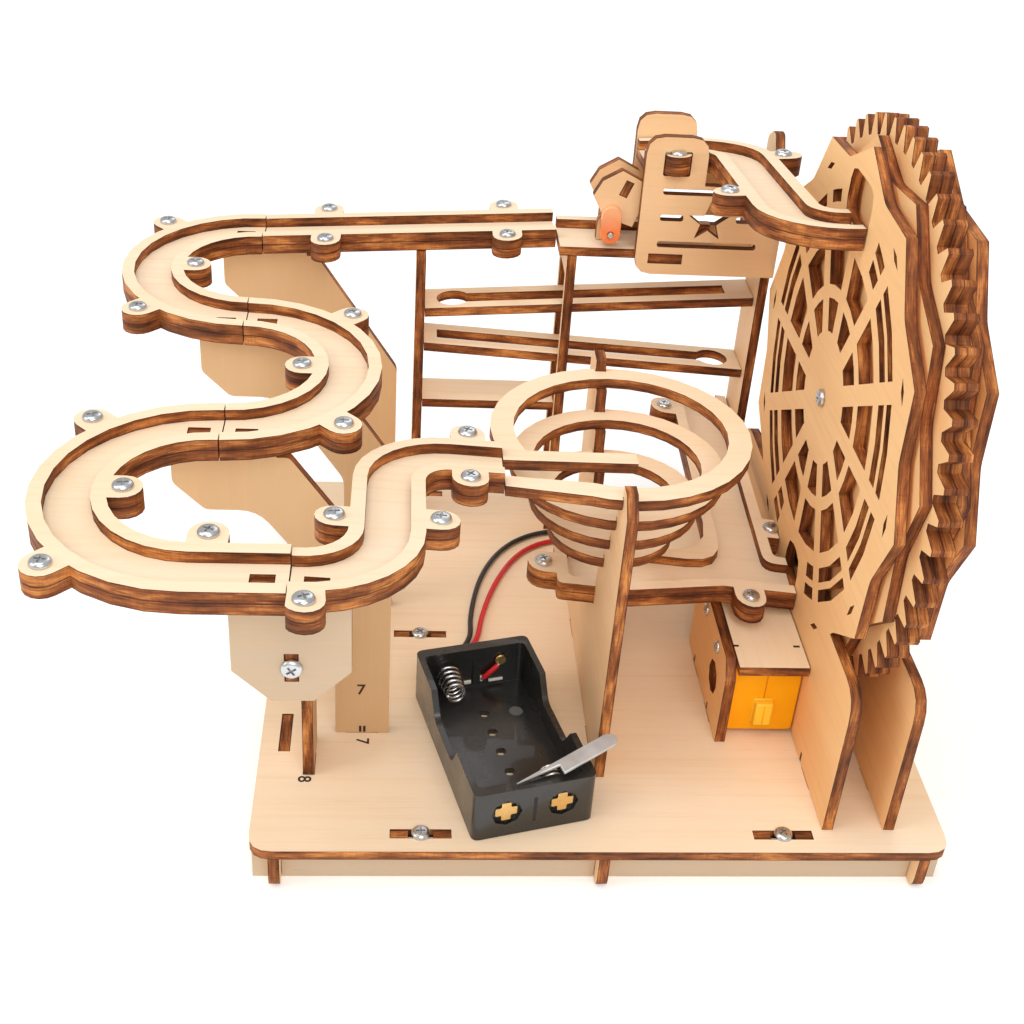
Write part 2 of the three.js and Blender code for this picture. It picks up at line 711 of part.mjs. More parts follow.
function frontSupport() {
  const y = runY(3);
  const edge = runTop(leadX, y) - 2 * PLY - SEAT;
  const tip = edge + PLY - 2 * SEAT;
  const low = dipTop(leadX + FRONT_HALF, y + PLY) - 2 * PLY - SEAT;
  const x0 = leadX - FRONT_HALF;
  const x1 = leadX + FRONT_HALF;
  const slot = PLY / 2 + SLIDE;
  const keys = [-1, 1].map((side) => FRONT_SCREW_Z + side * (FRONT_KEY_GAP + FRONT_KEY) / 2);
  const reach = FRONT_KEY / 2 + SLIDE;
  const plate = outline([
    [x0 + FRONT_CHAMFER, FRONT_BOTTOM], [x1 - FRONT_CHAMFER, FRONT_BOTTOM],
    [x1, FRONT_BOTTOM + FRONT_CHAMFER], [x1, low], ...topTabs(leadX, low, tip - (edge - low) / 2),
    [x0, low], [x0, FRONT_BOTTOM + FRONT_CHAMFER],
  ]);
  const holes = keys.map((z) => opening(block(leadX - slot, z - reach, leadX + slot, z + reach)));
  add('front_bracket', face(sheet(plate, { holes }), y - PLY / 2), plywood());

  const back = y + PLY / 2 + SEAT;
  const front = y - PLY / 2 + SEAT;
  const footBack = LEAN_FOOT_Y + LEAN_FOOT_L;
  const lean = outline([
    ...footSideways(LEAN_FOOT_Y, footBack, leadX, [LEAN_FOOT_Y + TAB / 2 + SEAM]),
    [footBack, LEAN_KNEE + LEAN_BACK, LEAN_R], [back + LEAN_HEAD, low - LEAN_DROP, LEAN_R],
    [back, low - LEAN_DROP],
    ...[keys[1], keys[0]].flatMap((z) => [
      [back, z + FRONT_KEY / 2], [front, z + FRONT_KEY / 2],
      [front, z - FRONT_KEY / 2], [back, z - FRONT_KEY / 2],
    ]),
    [back, FRONT_BOTTOM], [LEAN_FOOT_Y, LEAN_KNEE, LEAN_R],
  ]);
  add('leaning_support', stand(sheet(lean), leadX - PLY / 2), plywood());
}

// Funnel: rings that step inwards and down, held in the notches of one upright rib
const ribLeft = ribX - PLY / 2;
const notchHalf = PLY / 2 + SLIDE;
const hornY = (ring, side) => FUNNEL_Y + side * (ringRadius(ring) - RING_NOTCH);

function ringNotches(ring, bottom) {
  return [-1, 1].map((side) => {
    const inner = hornY(ring, side) - side * SLIDE;
    const outer = hornY(ring, side) + side * 2 * RING_W;
    const span = [inner, outer].sort((a, b) => a - b);
    return brick(ribX - notchHalf, ribX + notchHalf, ...span, bottom - OVERCUT, bottom + PLY + OVERCUT);
  });
}

function funnelRings() {
  for (let ring = 0; ring < RINGS; ring += 1) {
    const bottom = ringTop(ring) - PLY;
    const radius = ringRadius(ring);
    const hole = bore(funnelX, FUNNEL_Y, radius - RING_W);
    let body = lay(sheet(disc(funnelX, FUNNEL_Y, radius), { holes: [hole], segments: 16 }), bottom);
    const notches = ringNotches(ring, bottom);
    if (ring === 0) body = entryRails(body, bottom, notches);
    else body = carve(body, notches);
    add(`funnel_ring_${ring + 1}`, body, plywood());
  }
}

// The top ring carries two entry rails that lead on from the end of the curved run.
function entryRails(ring, bottom, notches) {
  const start = runEndX + SEAM / 2;
  const outerEdge = RUN_Y - TRACK_HALF;
  const innerEdge = RUN_Y + TRACK_HALF;
  const gapLow = outerEdge + (2 * TRACK_HALF - RAIL_GAP) / 2;
  const gapHigh = gapLow + RAIL_GAP;
  const ringFront = FUNNEL_Y - RING_R;
  const innerEnd = funnelX + INNER_RAIL_PAST;
  const mouthEnd = funnelX - MOUTH_EDGE;
  const outerRail = outline([
    [start, outerEdge], [funnelX - OVERCUT, ringFront + SLIDE],
    [funnelX - OVERCUT, ringFront + RING_W - SLIDE], [start, gapLow],
  ]);
  const innerRail = outline([
    [start, gapHigh], [innerEnd, gapHigh - RAIL_SPLAY],
    [innerEnd, innerEdge - RAIL_SPLAY], [start, innerEdge],
  ]);
  const mouth = outline([
    [start - OVERCUT, gapLow], [mouthEnd, ringFront + RING_W + RING_NOTCH], [mouthEnd, gapHigh - RAIL_SPLAY],
    [start - OVERCUT, gapHigh],
  ]);
  const end = brick(
    start - 2 * RING_W, start, outerEdge - OVERCUT, innerEdge + SEAM, bottom - OVERCUT, bottom + 2 * PLY,
  );
  const rails = [outerRail, innerRail].map((shape) => lay(sheet(shape), bottom));
  const cutter = lay(sheet(mouth, { depth: PLY + 2 * OVERCUT }), bottom - OVERCUT);
  return carve(fuse(ring, rails), [cutter, end, ...notches]);
}

function funnelRib() {
  const ledge = (ring) => ringTop(ring) - PLY - SEAT;
  const top = ringTop(0) + RIB_HORN;
  const trayLow = (y) => trayTop(ribX - PLY / 2, y) - 2 * PLY - SEAT - trayFallX * PLY;
  const trayFront = TRAY_FRONT - SLIDE;
  const trayBack = TRAY_FRONT + BOWL_W + 2 * WALL + SLIDE;
  const steps = (side) => {
    const points = [[hornY(0, side), top]];
    for (let ring = 0; ring < RINGS; ring += 1) {
      const next = ring + 1 < RINGS ? hornY(ring + 1, side) : side < 0 ? trayFront : trayBack;
      points.push([hornY(ring, side), ledge(ring)], [next, ledge(ring)]);
    }
    return points;
  };
  const shape = outline([
    ...footSideways(RIB_FOOT_FRONT, RIB_BACK, ribX, [RIB_FOOT_FRONT + 2 * TAB, RIB_BACK - 2 * TAB]),
    [RIB_BACK, top - RIB_CHAMFER], [RIB_BACK - RIB_CHAMFER, top],
    ...steps(1), [trayBack, trayLow(trayBack)], [trayFront, trayLow(trayFront)], ...steps(-1).reverse(),
    [RIB_FRONT + RIB_CHAMFER, top], [RIB_FRONT, top - RIB_CHAMFER],
  ]);
  add('funnel_rib', stand(sheet(shape), ribLeft), plywood());
}

// Tray: one floor with walls, open to the wheel on the right and to the ramps at the back
const mouthFront = TRAY_FRONT_RIGHT + WALL;
const mouthBack = mouthFront + MOUTH_W;
const returnLeft = returnX - RETURN_W / 2;
const returnRight = returnX + RETURN_W / 2;
const bowlBack = TRAY_FRONT + WALL + BOWL_W;

function tray() {
  const bendA = funnelX + TRAY_BEND_A;
  const bendB = trayRight - TRAY_BEND_B;
  const floor = outline([
    [trayLeft, TRAY_FRONT, TRAY_CORNER_R], [bendA, TRAY_FRONT, TRAY_BEND_R],
    [bendB, TRAY_FRONT_RIGHT, TRAY_HEEL_R], [trayRight, TRAY_FRONT_RIGHT], [trayRight, mouthBack + WALL],
    [returnRight + WALL, mouthBack + WALL, TRAY_HEEL_R], [returnRight + WALL, TRAY_BACK],
    [returnLeft - WALL, TRAY_BACK], [returnLeft - WALL, bowlBack + WALL, TRAY_BACK_R],
    [trayLeft, bowlBack + WALL, TRAY_BOWL_R],
  ]);
  const channel = outline([
    [trayLeft + WALL, TRAY_FRONT + WALL, TRAY_CORNER_R], [bendA, TRAY_FRONT + WALL, TRAY_BEND_R],
    [bendB, mouthFront, TRAY_HEEL_R], [trayRight + OVERCUT, mouthFront], [trayRight + OVERCUT, mouthBack],
    [returnRight, mouthBack, TRAY_HEEL_R + WALL], [returnRight, TRAY_BACK + OVERCUT],
    [returnLeft, TRAY_BACK + OVERCUT], [returnLeft, bowlBack, TRAY_BACK_R - WALL],
    [trayLeft + WALL, bowlBack, TRAY_BOWL_R],
  ]);
  const tongueAt = (x, y, angle) => tongue(-EAR_R, EAR_REACH, EAR_R).rotateZ(angle).translate(x, y, 0);
  const ears = [
    tongueAt(trayLeft, TRAY_EAR_LEFT_Y, PI),
    tongueAt(trayRight - TRAY_EAR_FRONT, TRAY_FRONT_RIGHT, -QUARTER),
    tongueAt(returnRight + WALL, TRAY_EAR_SIDE_Y, 0),
    tongueAt(returnLeft - WALL, TRAY_EAR_BACK_Y, PI),
  ];
  const trim = brick(trayRight, trayRight + 4 * EAR_R, TRAY_FRONT, TRAY_BACK, -OVERCUT, 3 * PLY);
  const cutter = lay(sheet(channel, { depth: 2 * PLY }), PLY);
  const body = carve(fuse(sheet(floor, { depth: 2 * PLY }), ears), [cutter, trim]);
  add('tray', settle(body, trayTop, 2 * PLY), plywood());
}

// Lifting wheel
const around = (radius, angle) => [WHEEL_Y + radius * cos(angle), WHEEL_Z + radius * sin(angle)];
const pitch = 2 * PI / FRAME_POINTS;

function star(tip, valley, phase) {
  const corners = [];
  for (let i = 0; i < FRAME_POINTS; i += 1) {
    corners.push(around(tip, phase + i * pitch), [...around(valley, phase + (i + 0.5) * pitch), VALLEY_R]);
  }
  return outline(corners);
}

// One opening between two spokes: arcs at both radii, straight sides along the spokes
function cell(inner, outer, from, to) {
  const arc = (radius) => {
    const edge = asin(SPOKE_HALF / radius);
    return [from + edge, (from + to) / 2, to - edge].map((angle) => around(radius, angle));
  };
  return outline([...arc(outer), ...arc(inner).reverse()]);
}

function lens(angle) {
  const place = (along, out) => {
    const [y, z] = around(LENS_R + out, angle);
    return [y - along * sin(angle), z + along * cos(angle)];
  };
  const shape = new THREE.Shape();
  shape.moveTo(...place(-LENS_L / 2, 0));
  shape.quadraticCurveTo(...place(0, LENS_W), ...place(LENS_L / 2, 0));
  shape.quadraticCurveTo(...place(0, -LENS_W), ...place(-LENS_L / 2, 0));
  return shape;
}

function frameCells() {
  const cells = [
    [HUB_CELL_R, HUB_CELL_H], [WEB_CELL_R, WEB_CELL_H],
    [OUTER_CELL_R, OUTER_CELL_H], [RIM_CELL_R, RIM_CELL_H],
  ];
  const shapes = [];
  for (let i = 0; i < FRAME_POINTS; i += 1) {
    const from = i * pitch;
    const to = from + pitch;
    const upright = [QUARTER, 3 * QUARTER];
    const arched = upright.some((angle) => Math.abs(from - angle) < 0.01);
    const archedNext = upright.some((angle) => Math.abs(to - angle) < 0.01);
    cells.forEach(([inner, height], layer) => {
      const short = layer > 1 ? ARCH_SECTOR : 0;
      shapes.push(cell(inner, inner + height, arched ? from + short : from, archedNext ? to - short : to));
    });
    if (!arched) shapes.push(lens(from));
  }
  return shapes;
}

function wheelFrame(name, left, arches, shaftHole) {
  const front = WHEEL_Y - FOOT_HALF;
  const back = WHEEL_Y + FOOT_HALF;
  const base = outline([
    ...footSideways(front, back, left + PLY / 2, [WHEEL_Y - FOOT_TAB_Y, WHEEL_Y + FOOT_TAB_Y]),
    [back, FOOT_H, FOOT_R], [front, FOOT_H, FOOT_R],
  ]);
  const cuts = frameCells();
  cuts.push(...arches);
  const cutter = lay(sheet(cuts, { depth: PLY + 2 * OVERCUT, segments: 2 }), -OVERCUT);
  const plate = fuse(sheet(star(FRAME_TIP, FRAME_VALLEY, 0), { segments: 2 }), [sheet(base)]);
  let body = drill(carve(plate, [cutter]), WHEEL_Y, WHEEL_Z, AXLE_R + SLIDE);
  if (shaftHole) body = drill(body, SHAFT_Y, SHAFT_Z, SHAFT_HOLE_R);
  add(name, stand(body, left), plywood());
}

function wheelFrames() {
  const sill = upperTop(FRAME_X, WHEEL_Y) - PLY;
  const archY = WHEEL_Y + TOP_ARCH_SHIFT;
  const topArch = outline(block(
    archY - TOP_ARCH_W / 2, sill, archY + TOP_ARCH_W / 2, sill + TOP_ARCH_H, TOP_ARCH_R,
  ));
  const doorstep = trayTop(FRAME_X, mouthFront) - PLY - SEAT;
  const lowArch = outline([
    [mouthFront, doorstep], [mouthFront + LOW_ARCH_W, doorstep],
    [mouthFront + LOW_ARCH_W, doorstep + LOW_ARCH_H, LOW_ARCH_R],
    [mouthFront, doorstep + LOW_ARCH_H, LOW_ARCH_R],
  ]);
  wheelFrame('wheel_frame_left', FRAME_X, [topArch, lowArch], true);
  wheelFrame('wheel_frame_right', backFrameX, [], false);
}

// Teeth: root, flank, tip and back again, with narrow tips so that the pair turns freely
function toothed(y, z, teeth, root, tip, widths, phase) {
  const step = 2 * PI / teeth;
  const corners = [];
  for (let i = 0; i < teeth; i += 1) {
    const centre = phase + i * step;
    const at = (radius, share) => {
      const angle = centre + share * step;
      return [y + radius * cos(angle), z + radius * sin(angle)];
    };
    const [atRoot, atTip] = widths;
    corners.push(at(root, -atRoot), at(tip, -atTip), at(tip, atTip), at(root, atRoot));
  }
  return outline(corners);
}

const pockets = () => Array.from({ length: FRAME_POINTS }, (_, i) => {
  const angle = STAR_PHASE + (i + 0.5) * pitch;
  const corner = (out, side) => {
    const [y, z] = around(POCKET_R + out * POCKET_H / 2, angle);
    return [y - side * POCKET_W / 2 * sin(angle), z + side * POCKET_W / 2 * cos(angle), POCKET_CORNER_R];
  };
  return opening([corner(-1, -1), corner(1, -1), corner(1, 1), corner(-1, 1)]);
});

function wheelStack() {
  const hubbed = (geometry) => drill(geometry, WHEEL_Y, WHEEL_Z, AXLE_R + BORE_GAP);
  const starShape = () => star(STAR_TIP, STAR_VALLEY, STAR_PHASE);
  const gearRoot = toothModule * (GEAR_TEETH / 2 - DEDENDUM);
  const gearShape = toothed(
    WHEEL_Y, WHEEL_Z, GEAR_TEETH, gearRoot, GEAR_TIP, [GEAR_ROOT_SHARE, GEAR_TIP_SHARE],
    shaftBearing + PI / GEAR_TEETH,
  );
  const leftStar = sheet(starShape(), { holes: pockets(), segments: 2 });
  const gear = sheet(gearShape, { holes: pockets(), depth: GEAR_W, segments: 2 });
  add('star_plate_left', stand(hubbed(leftStar), starX), plywood());
  add('lift_gear', stand(hubbed(gear), gearX), plywood());
  add('star_plate_right', stand(hubbed(sheet(starShape(), { segments: 2 })), backStarX), plywood());

  const near = FRAME_X - SEAT;
  const far = backFrameX + PLY + SEAT;
  const profile = [
    [0, near - AXLE_HEAD_H], [AXLE_HEAD_R, near - AXLE_HEAD_H], [AXLE_HEAD_R, near], [AXLE_R, near],
    [AXLE_R, far], [AXLE_HEAD_R, far], [AXLE_HEAD_R, far + AXLE_HEAD_H], [0, far + AXLE_HEAD_H],
  ];
  add('wheel_axle', turned(profile, 12, WHEEL_Y, WHEEL_Z), steel());
}

// A turned piece along X: profile points are radius and X.
function turned(profile, sides, y, z) {
  const points = profile.map(([radius, x]) => new THREE.Vector2(radius, x));
  return new THREE.LatheGeometry(points, sides).rotateZ(-QUARTER).translate(0, y, z);
}

// Motor: gearbox, can, shaft with its pinion, side bracket and cover
function motor() {
  const low = boxTop - BOX_H;
  const box = sheet(outline(block(boxLeft, low, boxRight, boxTop, BOX_R)), { depth: BOX_D, segments: 2 });
  const nub = brick(
    boxMiddle - NUB_W / 2, boxMiddle + NUB_W / 2, BOX_FRONT - NUB_D, BOX_FRONT + OVERCUT,
    low + NUB_Z, low + NUB_Z + NUB_H,
  );
  add('gearbox', fuse(face(box, BOX_FRONT, BOX_D), [nub]), yellowPlastic());

  const canShape = new THREE.Shape();
  const flatAngle = Math.acos(CAN_FLAT / CAN_R);
  canShape.absarc(boxMiddle, SHAFT_Z, CAN_R, flatAngle, PI - flatAngle);
  canShape.absarc(boxMiddle, SHAFT_Z, CAN_R, PI + flatAngle, 2 * PI - flatAngle);
  canShape.closePath();
  const can = face(sheet(canShape, { depth: CAN_L }), canY, CAN_L);
  const bossL = BOSS_H + OVERCUT;
  const boss = face(sheet(disc(boxMiddle, SHAFT_Z, BOSS_R), { depth: bossL }), canBack - OVERCUT, bossL);
  add('motor_can', fuse(can, [boss]), steel());

  const pinionX = [starX + RUN_GAP, backStarX - RUN_GAP];
  const shaftEnds = [boxRight + SEAT, backStarX + PLY];
  const shaft = [[0, shaftEnds[0]], [SHAFT_R, shaftEnds[0]], [SHAFT_R, shaftEnds[1]], [0, shaftEnds[1]]];
  add('motor_shaft', turned(shaft, 12, SHAFT_Y, SHAFT_Z), finish(0xf4efe2, 0.45, 0));
  const pinionTip = toothModule * (PINION_TEETH / 2 + ADDENDUM);
  const pinionShape = toothed(
    SHAFT_Y, SHAFT_Z, PINION_TEETH, shaftReach - GEAR_TIP - TIP_GAP, pinionTip,
    [PINION_ROOT_SHARE, PINION_TIP_SHARE], shaftBearing + PI,
  );
  const pinion = sheet(pinionShape, { depth: pinionX[1] - pinionX[0] });
  add('drive_pinion', stand(drill(pinion, SHAFT_Y, SHAFT_Z, SHAFT_R + SLIDE), pinionX[0]), plywood());

  const cover = outline(block(boxLeft, COVER_FRONT, boxRight, COVER_FRONT + COVER_L));
  add('motor_cover', lay(sheet(cover), coverTop - PLY), plywood());

  const bracketX = boxLeft - SEAM - PLY;
  const back = BRACKET_FRONT + BRACKET_L;
  const tabs = [BRACKET_FRONT + BRACKET_TAB, back - BRACKET_TAB];
  const bracket = outline([
    ...footSideways(BRACKET_FRONT, back, bracketX + PLY / 2, tabs),
    [back, coverTop], [BRACKET_FRONT + BRACKET_NOSE, coverTop], [BRACKET_FRONT, coverTop - BRACKET_CHAMFER],
  ]);
  const holes = [bore(SHAFT_Y, SHAFT_Z, BRACKET_HOLE_R)];
  add('motor_bracket', stand(sheet(bracket, { holes }), bracketX), plywood());
}

// Battery case, drawn square to its own corner and then turned
const cellU = [CELL_INSET, CASE_W - CELL_INSET];
const setDown = (geometry) => geometry.rotateZ(CASE_TURN).translate(caseX, CASE_Y, SEAT);

function batteryCase() {
  const room = outline(block(CASE_WALL, CASE_END, CASE_W - CASE_WALL, CASE_L - CASE_END, CAVITY_R));
  const cavity = lay(sheet(room, { depth: CASE_H }), CASE_FLOOR);
  const rim = CASE_H - CASE_SCOOP;
  const dip = outline([
    [SCOOP_FRONT, CASE_H + OVERCUT], [SCOOP_FRONT + SCOOP_SLOPE, rim, SCOOP_R],
    [CASE_L - SCOOP_REAR - SCOOP_SLOPE, rim, SCOOP_R], [CASE_L - SCOOP_REAR, CASE_H + OVERCUT],
  ]);
  const scoop = stand(sheet(dip, { depth: CASE_W + 2 * OVERCUT }), -OVERCUT);
  const shell = sheet(outline(block(0, 0, CASE_W, CASE_L, CASE_CORNER_R)), { depth: CASE_H });
  const vents = Array.from({ length: VENTS }, (_, i) => {
    const u = CASE_W / 2;
    const v = VENT_Y + i * VENT_PITCH;
    const hole = outline(block(u - VENT_R, v - VENT_R, u + VENT_R, v + VENT_R, VENT_R));
    return lay(sheet(hole, { depth: CASE_FLOOR + 2 * OVERCUT, segments: 2 }), -OVERCUT);
  });
  const recessL = RECESS_D + OVERCUT;
  const recesses = cellU.map((u) => {
    const round = sheet(disc(u, CELL_Z, RECESS_R), { depth: recessL });
    return face(round, -OVERCUT, recessL);
  });
  add('battery_case', setDown(carve(shell, [cavity, scoop, ...vents, ...recesses])), blackPlastic());
}

class Helix extends THREE.Curve {
  constructor(radius, curls, length) {
    super();
    Object.assign(this, { radius, curls, length });
  }

  getPoint(t, target = new THREE.Vector3()) {
    const angle = 2 * PI * this.curls * t;
    const taper = this.radius * (1 - SPRING_NARROWS * t);
    return target.set(taper * cos(angle), this.length * t, taper * sin(angle));
  }
}

// Least distance between the surfaces of neighbouring curls, measured on points of the wire's middle line
function leastGap(curve, wire) {
  const points = curve.getSpacedPoints(24 * curve.curls);
  let least = Infinity;
  points.forEach((point, i) => {
    for (let j = i + 14; j < points.length; j += 1) least = min(least, point.distanceTo(points[j]) - wire);
  });
  return least;
}

function springs() {
  const section = disc(0, 0, SPRING_WIRE / 2);
  const pentagon = new THREE.Shape(section.getSpacedPoints(5).slice(0, 5));
  const room = CASE_END + SEAM + SPRING_WIRE / 2;
  const places = [['spring_rear', cellU[0], true], ['spring_front', cellU[1], false]];
  for (const [name, u, rear] of places) {
    const curve = new Helix(SPRING_R, SPRING_CURLS, SPRING_L);
    console.log(name, 'least gap between curls', leastGap(curve, SPRING_WIRE).toFixed(2), 'mm');
    const steps = 8 * SPRING_CURLS;
    const wire = new THREE.ExtrudeGeometry(pentagon, { steps, extrudePath: curve, bevelEnabled: false });
    if (rear) wire.rotateZ(PI).translate(0, CASE_L - room, 0);
    else wire.translate(0, room, 0);
    add(name, setDown(wire.translate(u, 0, CELL_Z)), steel());
  }
}

function contacts() {
  const petals = (x, z) => {
    const corners = [];
    for (let i = 0; i < PETALS; i += 1) {
      const middle = 2 * PI * i / PETALS;
      const bends = [[PETAL_R, -PETAL_HALF], [PETAL_R, PETAL_HALF], [PETAL_VALLEY, PI / PETALS]];
      for (const [radius, turn] of bends) {
        const angle = middle + turn;
        corners.push([x + radius * cos(angle), z + radius * sin(angle), PETAL_TIP_R]);
      }
    }
    return outline(corners);
  };
  const inset = RECESS_D - SEAT - CONTACT_T;
  ['contact_left', 'contact_right'].forEach((name, i) => {
    const plate = sheet(petals(cellU[i], CELL_Z), { depth: CONTACT_T, segments: 2 });
    add(name, setDown(face(plate, inset, CONTACT_T)), brass());
  });
  const rivet = sheet(disc(CASE_W - RIVET_INSET, RIVET_Z, RIVET_R), { depth: RIVET_T, segments: 6 });
  add('contact_rivet', setDown(face(rivet, CASE_L - CASE_END - SEAT - RIVET_T, RIVET_T)), brass());

  const tip = STRIP_L - STRIP_W / 2;
  const blade = new THREE.Shape();
  blade.moveTo(0, 0);
  blade.lineTo(STRIP_NECK, -STRIP_NECK_W);
  blade.lineTo(STRIP_NECK - STRIP_STEP, -STRIP_W);
  blade.lineTo(tip, -STRIP_W);
  blade.absarc(tip, -STRIP_W / 2, STRIP_W / 2, -QUARTER, QUARTER);
  blade.closePath();
  const lift = (x) => CASE_H + SEAT + STRIP_T + STRIP_LIFT * x / STRIP_L;
  const strip = settle(sheet(blade, { depth: STRIP_T }), lift, STRIP_T);
  add('pull_strip', setDown(strip.rotateZ(STRIP_TURN).translate(STRIP_U, CASE_END / 2, 0)), silverSheet());
}

// Leads: each leaves the rear of the battery case, lies on the base and climbs to the back of the motor.
const leadRest = LEAD_D / 2 + SEAM;
const caseAt = (u, v, z) => [
  caseX + u * cos(CASE_TURN) - v * sin(CASE_TURN), CASE_Y + u * sin(CASE_TURN) + v * cos(CASE_TURN), z,
];
const onBase = (points) => points.map(([x, y]) => [x, y, leadRest]);

function leads() {
  const leaving = (u) => [
    caseAt(u, CASE_L + SEAM, LEAD_EXIT_Z), caseAt(u, CASE_L + 2 * LEAD_D, LEAD_EXIT_Z - LEAD_D / 2),
    caseAt(u, CASE_L + 6 * LEAD_D, leadRest + LEAD_D / 4),
  ];
  const arriving = (x) => [
    [x, canBack + 7 * LEAD_D, leadRest + 2 * LEAD_D], [x, canBack + 3 * LEAD_D, SHAFT_Z - 2 * LEAD_D],
    [x, canBack + LEAD_D, SHAFT_Z - LEAD_D / 4], [x, canBack + SEAM, SHAFT_Z],
  ];
  const routes = {
    wire_black: [...leaving(CASE_W / 2 - LEAD_SPREAD / 2), ...onBase([
      [-31.5, 84], [-30.9, 93], [-29.7, 102], [-27.8, 111], [-25, 119.4], [-20.8, 127.6], [-15, 134.4],
      [-7.4, 139], [1.4, 140.6], [10.6, 139.6], [20, 136.8], [30, 132], [39, 126.4],
    ]), ...arriving(boxMiddle + TERMINAL_X)],
    wire_red: [...leaving(CASE_W / 2 + LEAD_SPREAD / 2), ...onBase([
      [-29.2, 84], [-27.6, 93], [-25.6, 101.5], [-23, 109.8], [-19.8, 117.6], [-16, 124.6], [-11, 130.4],
      [-4.2, 134.4], [3.8, 135.8], [12, 134.4], [20.4, 131], [28.6, 126.2], [35.6, 120.4],
    ]), ...arriving(boxMiddle - TERMINAL_X)],
  };
  const colours = { wire_black: 0x23201f, wire_red: 0xb5161c };
  for (const [name, points] of Object.entries(routes)) {
    const path = new THREE.CatmullRomCurve3(points.map((point) => new THREE.Vector3(...point)));
    const section = new THREE.Shape(disc(0, 0, LEAD_D / 2).getSpacedPoints(8).slice(0, 8));
    const options = { steps: LEAD_STEPS, extrudePath: path, bevelEnabled: false };
    const tube = new THREE.ExtrudeGeometry(section, options);
    add(name, tube, leadSleeve(colours[name]));
  }
}

// Zigzag frame
const zigBack = ZIG_FRONT + ZIG_DEPTH;
const zigInner = gateRearY - SEAM;
const postLeftFace = zigLeft + PLY / 2 + SEAT;
const postRightFace = zigRight - PLY / 2 - SEAT;

function zigzagPosts() {
  const tabs = [ZIG_FRONT + ZIG_TAB_Y];
  const leftTop = straightTop(zigLeft - PLY) - 2 * PLY - SEAT;
  const plain = (x, corners) => outline([...footSideways(ZIG_FRONT, zigInner, x, tabs), ...corners]);
  const leftPost = plain(zigLeft, [[zigInner, leftTop], [ZIG_FRONT, leftTop]]);
  add('zigzag_post_left', stand(sheet(leftPost), zigLeft - PLY / 2), plywood());

  const top = BED_Z - SEAT;
  const middle = outline([
    ...footSideways(ZIG_FRONT, zigBack, ZIG_MIDDLE, tabs), [zigBack, top, ZIG_R], [ZIG_FRONT, top],
  ]);
  const window = opening(block(
    ZIG_FRONT + ZIG_BAR, ZIG_WINDOW_LOW, zigBack - ZIG_BAR, ZIG_WINDOW_HIGH, ZIG_WINDOW_R,
  ));
  add('zigzag_post_middle', stand(sheet(middle, { holes: [window] }), ZIG_MIDDLE - PLY / 2), plywood());

  const rightPost = plain(zigRight, [
    [zigInner, ZIG_RIGHT_TOP - ZIG_R, ZIG_R], [zigInner + ZIG_R - HORN_TIP, ZIG_RIGHT_TOP, HORN_R],
    [zigInner - HORN_TIP, ZIG_RIGHT_TOP, HORN_R], [ZIG_FRONT, ZIG_RIGHT_TOP - HORN_SLOPE, HORN_R],
  ]);
  add('zigzag_post_right', stand(sheet(rightPost), zigRight - PLY / 2), plywood());
}

// A ramp has a keyhole: a slot that a marble rolls along, and a round hole where it drops through.
function ramp(name, leftTop, rightTop, holeX, stopX) {
  const y0 = rampY - RAMP_W / 2;
  const plank = sheet(outline(block(postLeftFace, y0, postRightFace, y0 + RAMP_W)));
  const [from, to] = [holeX, stopX].sort((a, b) => a - b);
  const slot = brick(from, to, rampY - RAMP_SLOT / 2, rampY + RAMP_SLOT / 2, -OVERCUT, PLY + OVERCUT);
  const drop = sheet(disc(holeX, rampY, RAMP_HOLE_R), { depth: PLY + 2 * OVERCUT, segments: 8 });
  const hole = lay(drop, -OVERCUT);
  const slope = (rightTop - leftTop) / (postRightFace - postLeftFace);
  const top = (x) => leftTop + slope * (x - postLeftFace);
  add(name, settle(carve(plank, [slot, hole]), top, PLY), plywood());
}

function zigzagRamps() {
  const left = postLeftFace;
  const right = postRightFace;
  ramp('zigzag_ramp_1', RAMP_1_LEFT, RAMP_1_RIGHT, left + RAMP_HOLE_EDGE, right - RAMP_STOP);
  ramp('zigzag_ramp_2', RAMP_2_LEFT, RAMP_2_RIGHT, right - RAMP_HOLE_EDGE, left + RAMP_2_STOP);
  const end = ZIG_MIDDLE - PLY / 2 - SEAT;
  const board = brick(left, end, rampY - RAMP_W / 2, rampY + RAMP_W / 2, BOARD_TOP - PLY, BOARD_TOP);
  add('zigzag_board', board, plywood());
}

// Gate: two upright plates with the flipper's bed between them
const lobeRight = GATE_LEFT + GATE_LOBE_W;
const gateFrontY = ZIG_FRONT - SEAM - PLY;

function gateOutline() {
  const gateRight = FRAME_X - SEAM;
  const trackLow = upperTop(GATE_LEFT, zigBack) - 2 * PLY - 2 * SEAM;
  return [
    [GATE_LEFT, GATE_BOTTOM, GATE_R], [gateRight, GATE_BOTTOM],
    [gateRight, trackLow - GATE_SHOULDER_H, GATE_SHOULDER_R],
    [lobeRight + GATE_SHOULDER_W, trackLow, GATE_SHOULDER_R], [lobeRight, trackLow],
    [lobeRight, GATE_TOP, GATE_R], [GATE_LEFT, GATE_TOP, GATE_R],
  ];
}

const bedSlot = () => opening(block(
  BED_TAB_X - BED_TAB_L / 2 - SLIDE, BED_Z - SLIDE, BED_TAB_X + BED_TAB_L / 2 + SLIDE, BED_Z + PLY + SLIDE,
));

function fivePointStar(x, z, outer, inner) {
  const corners = [];
  for (let i = 0; i < 10; i += 1) {
    const radius = i % 2 === 0 ? outer : inner;
    const angle = QUARTER + i * PI / 5;
    corners.push([x + radius * cos(angle), z + radius * sin(angle)]);
  }
  return opening(corners);
}

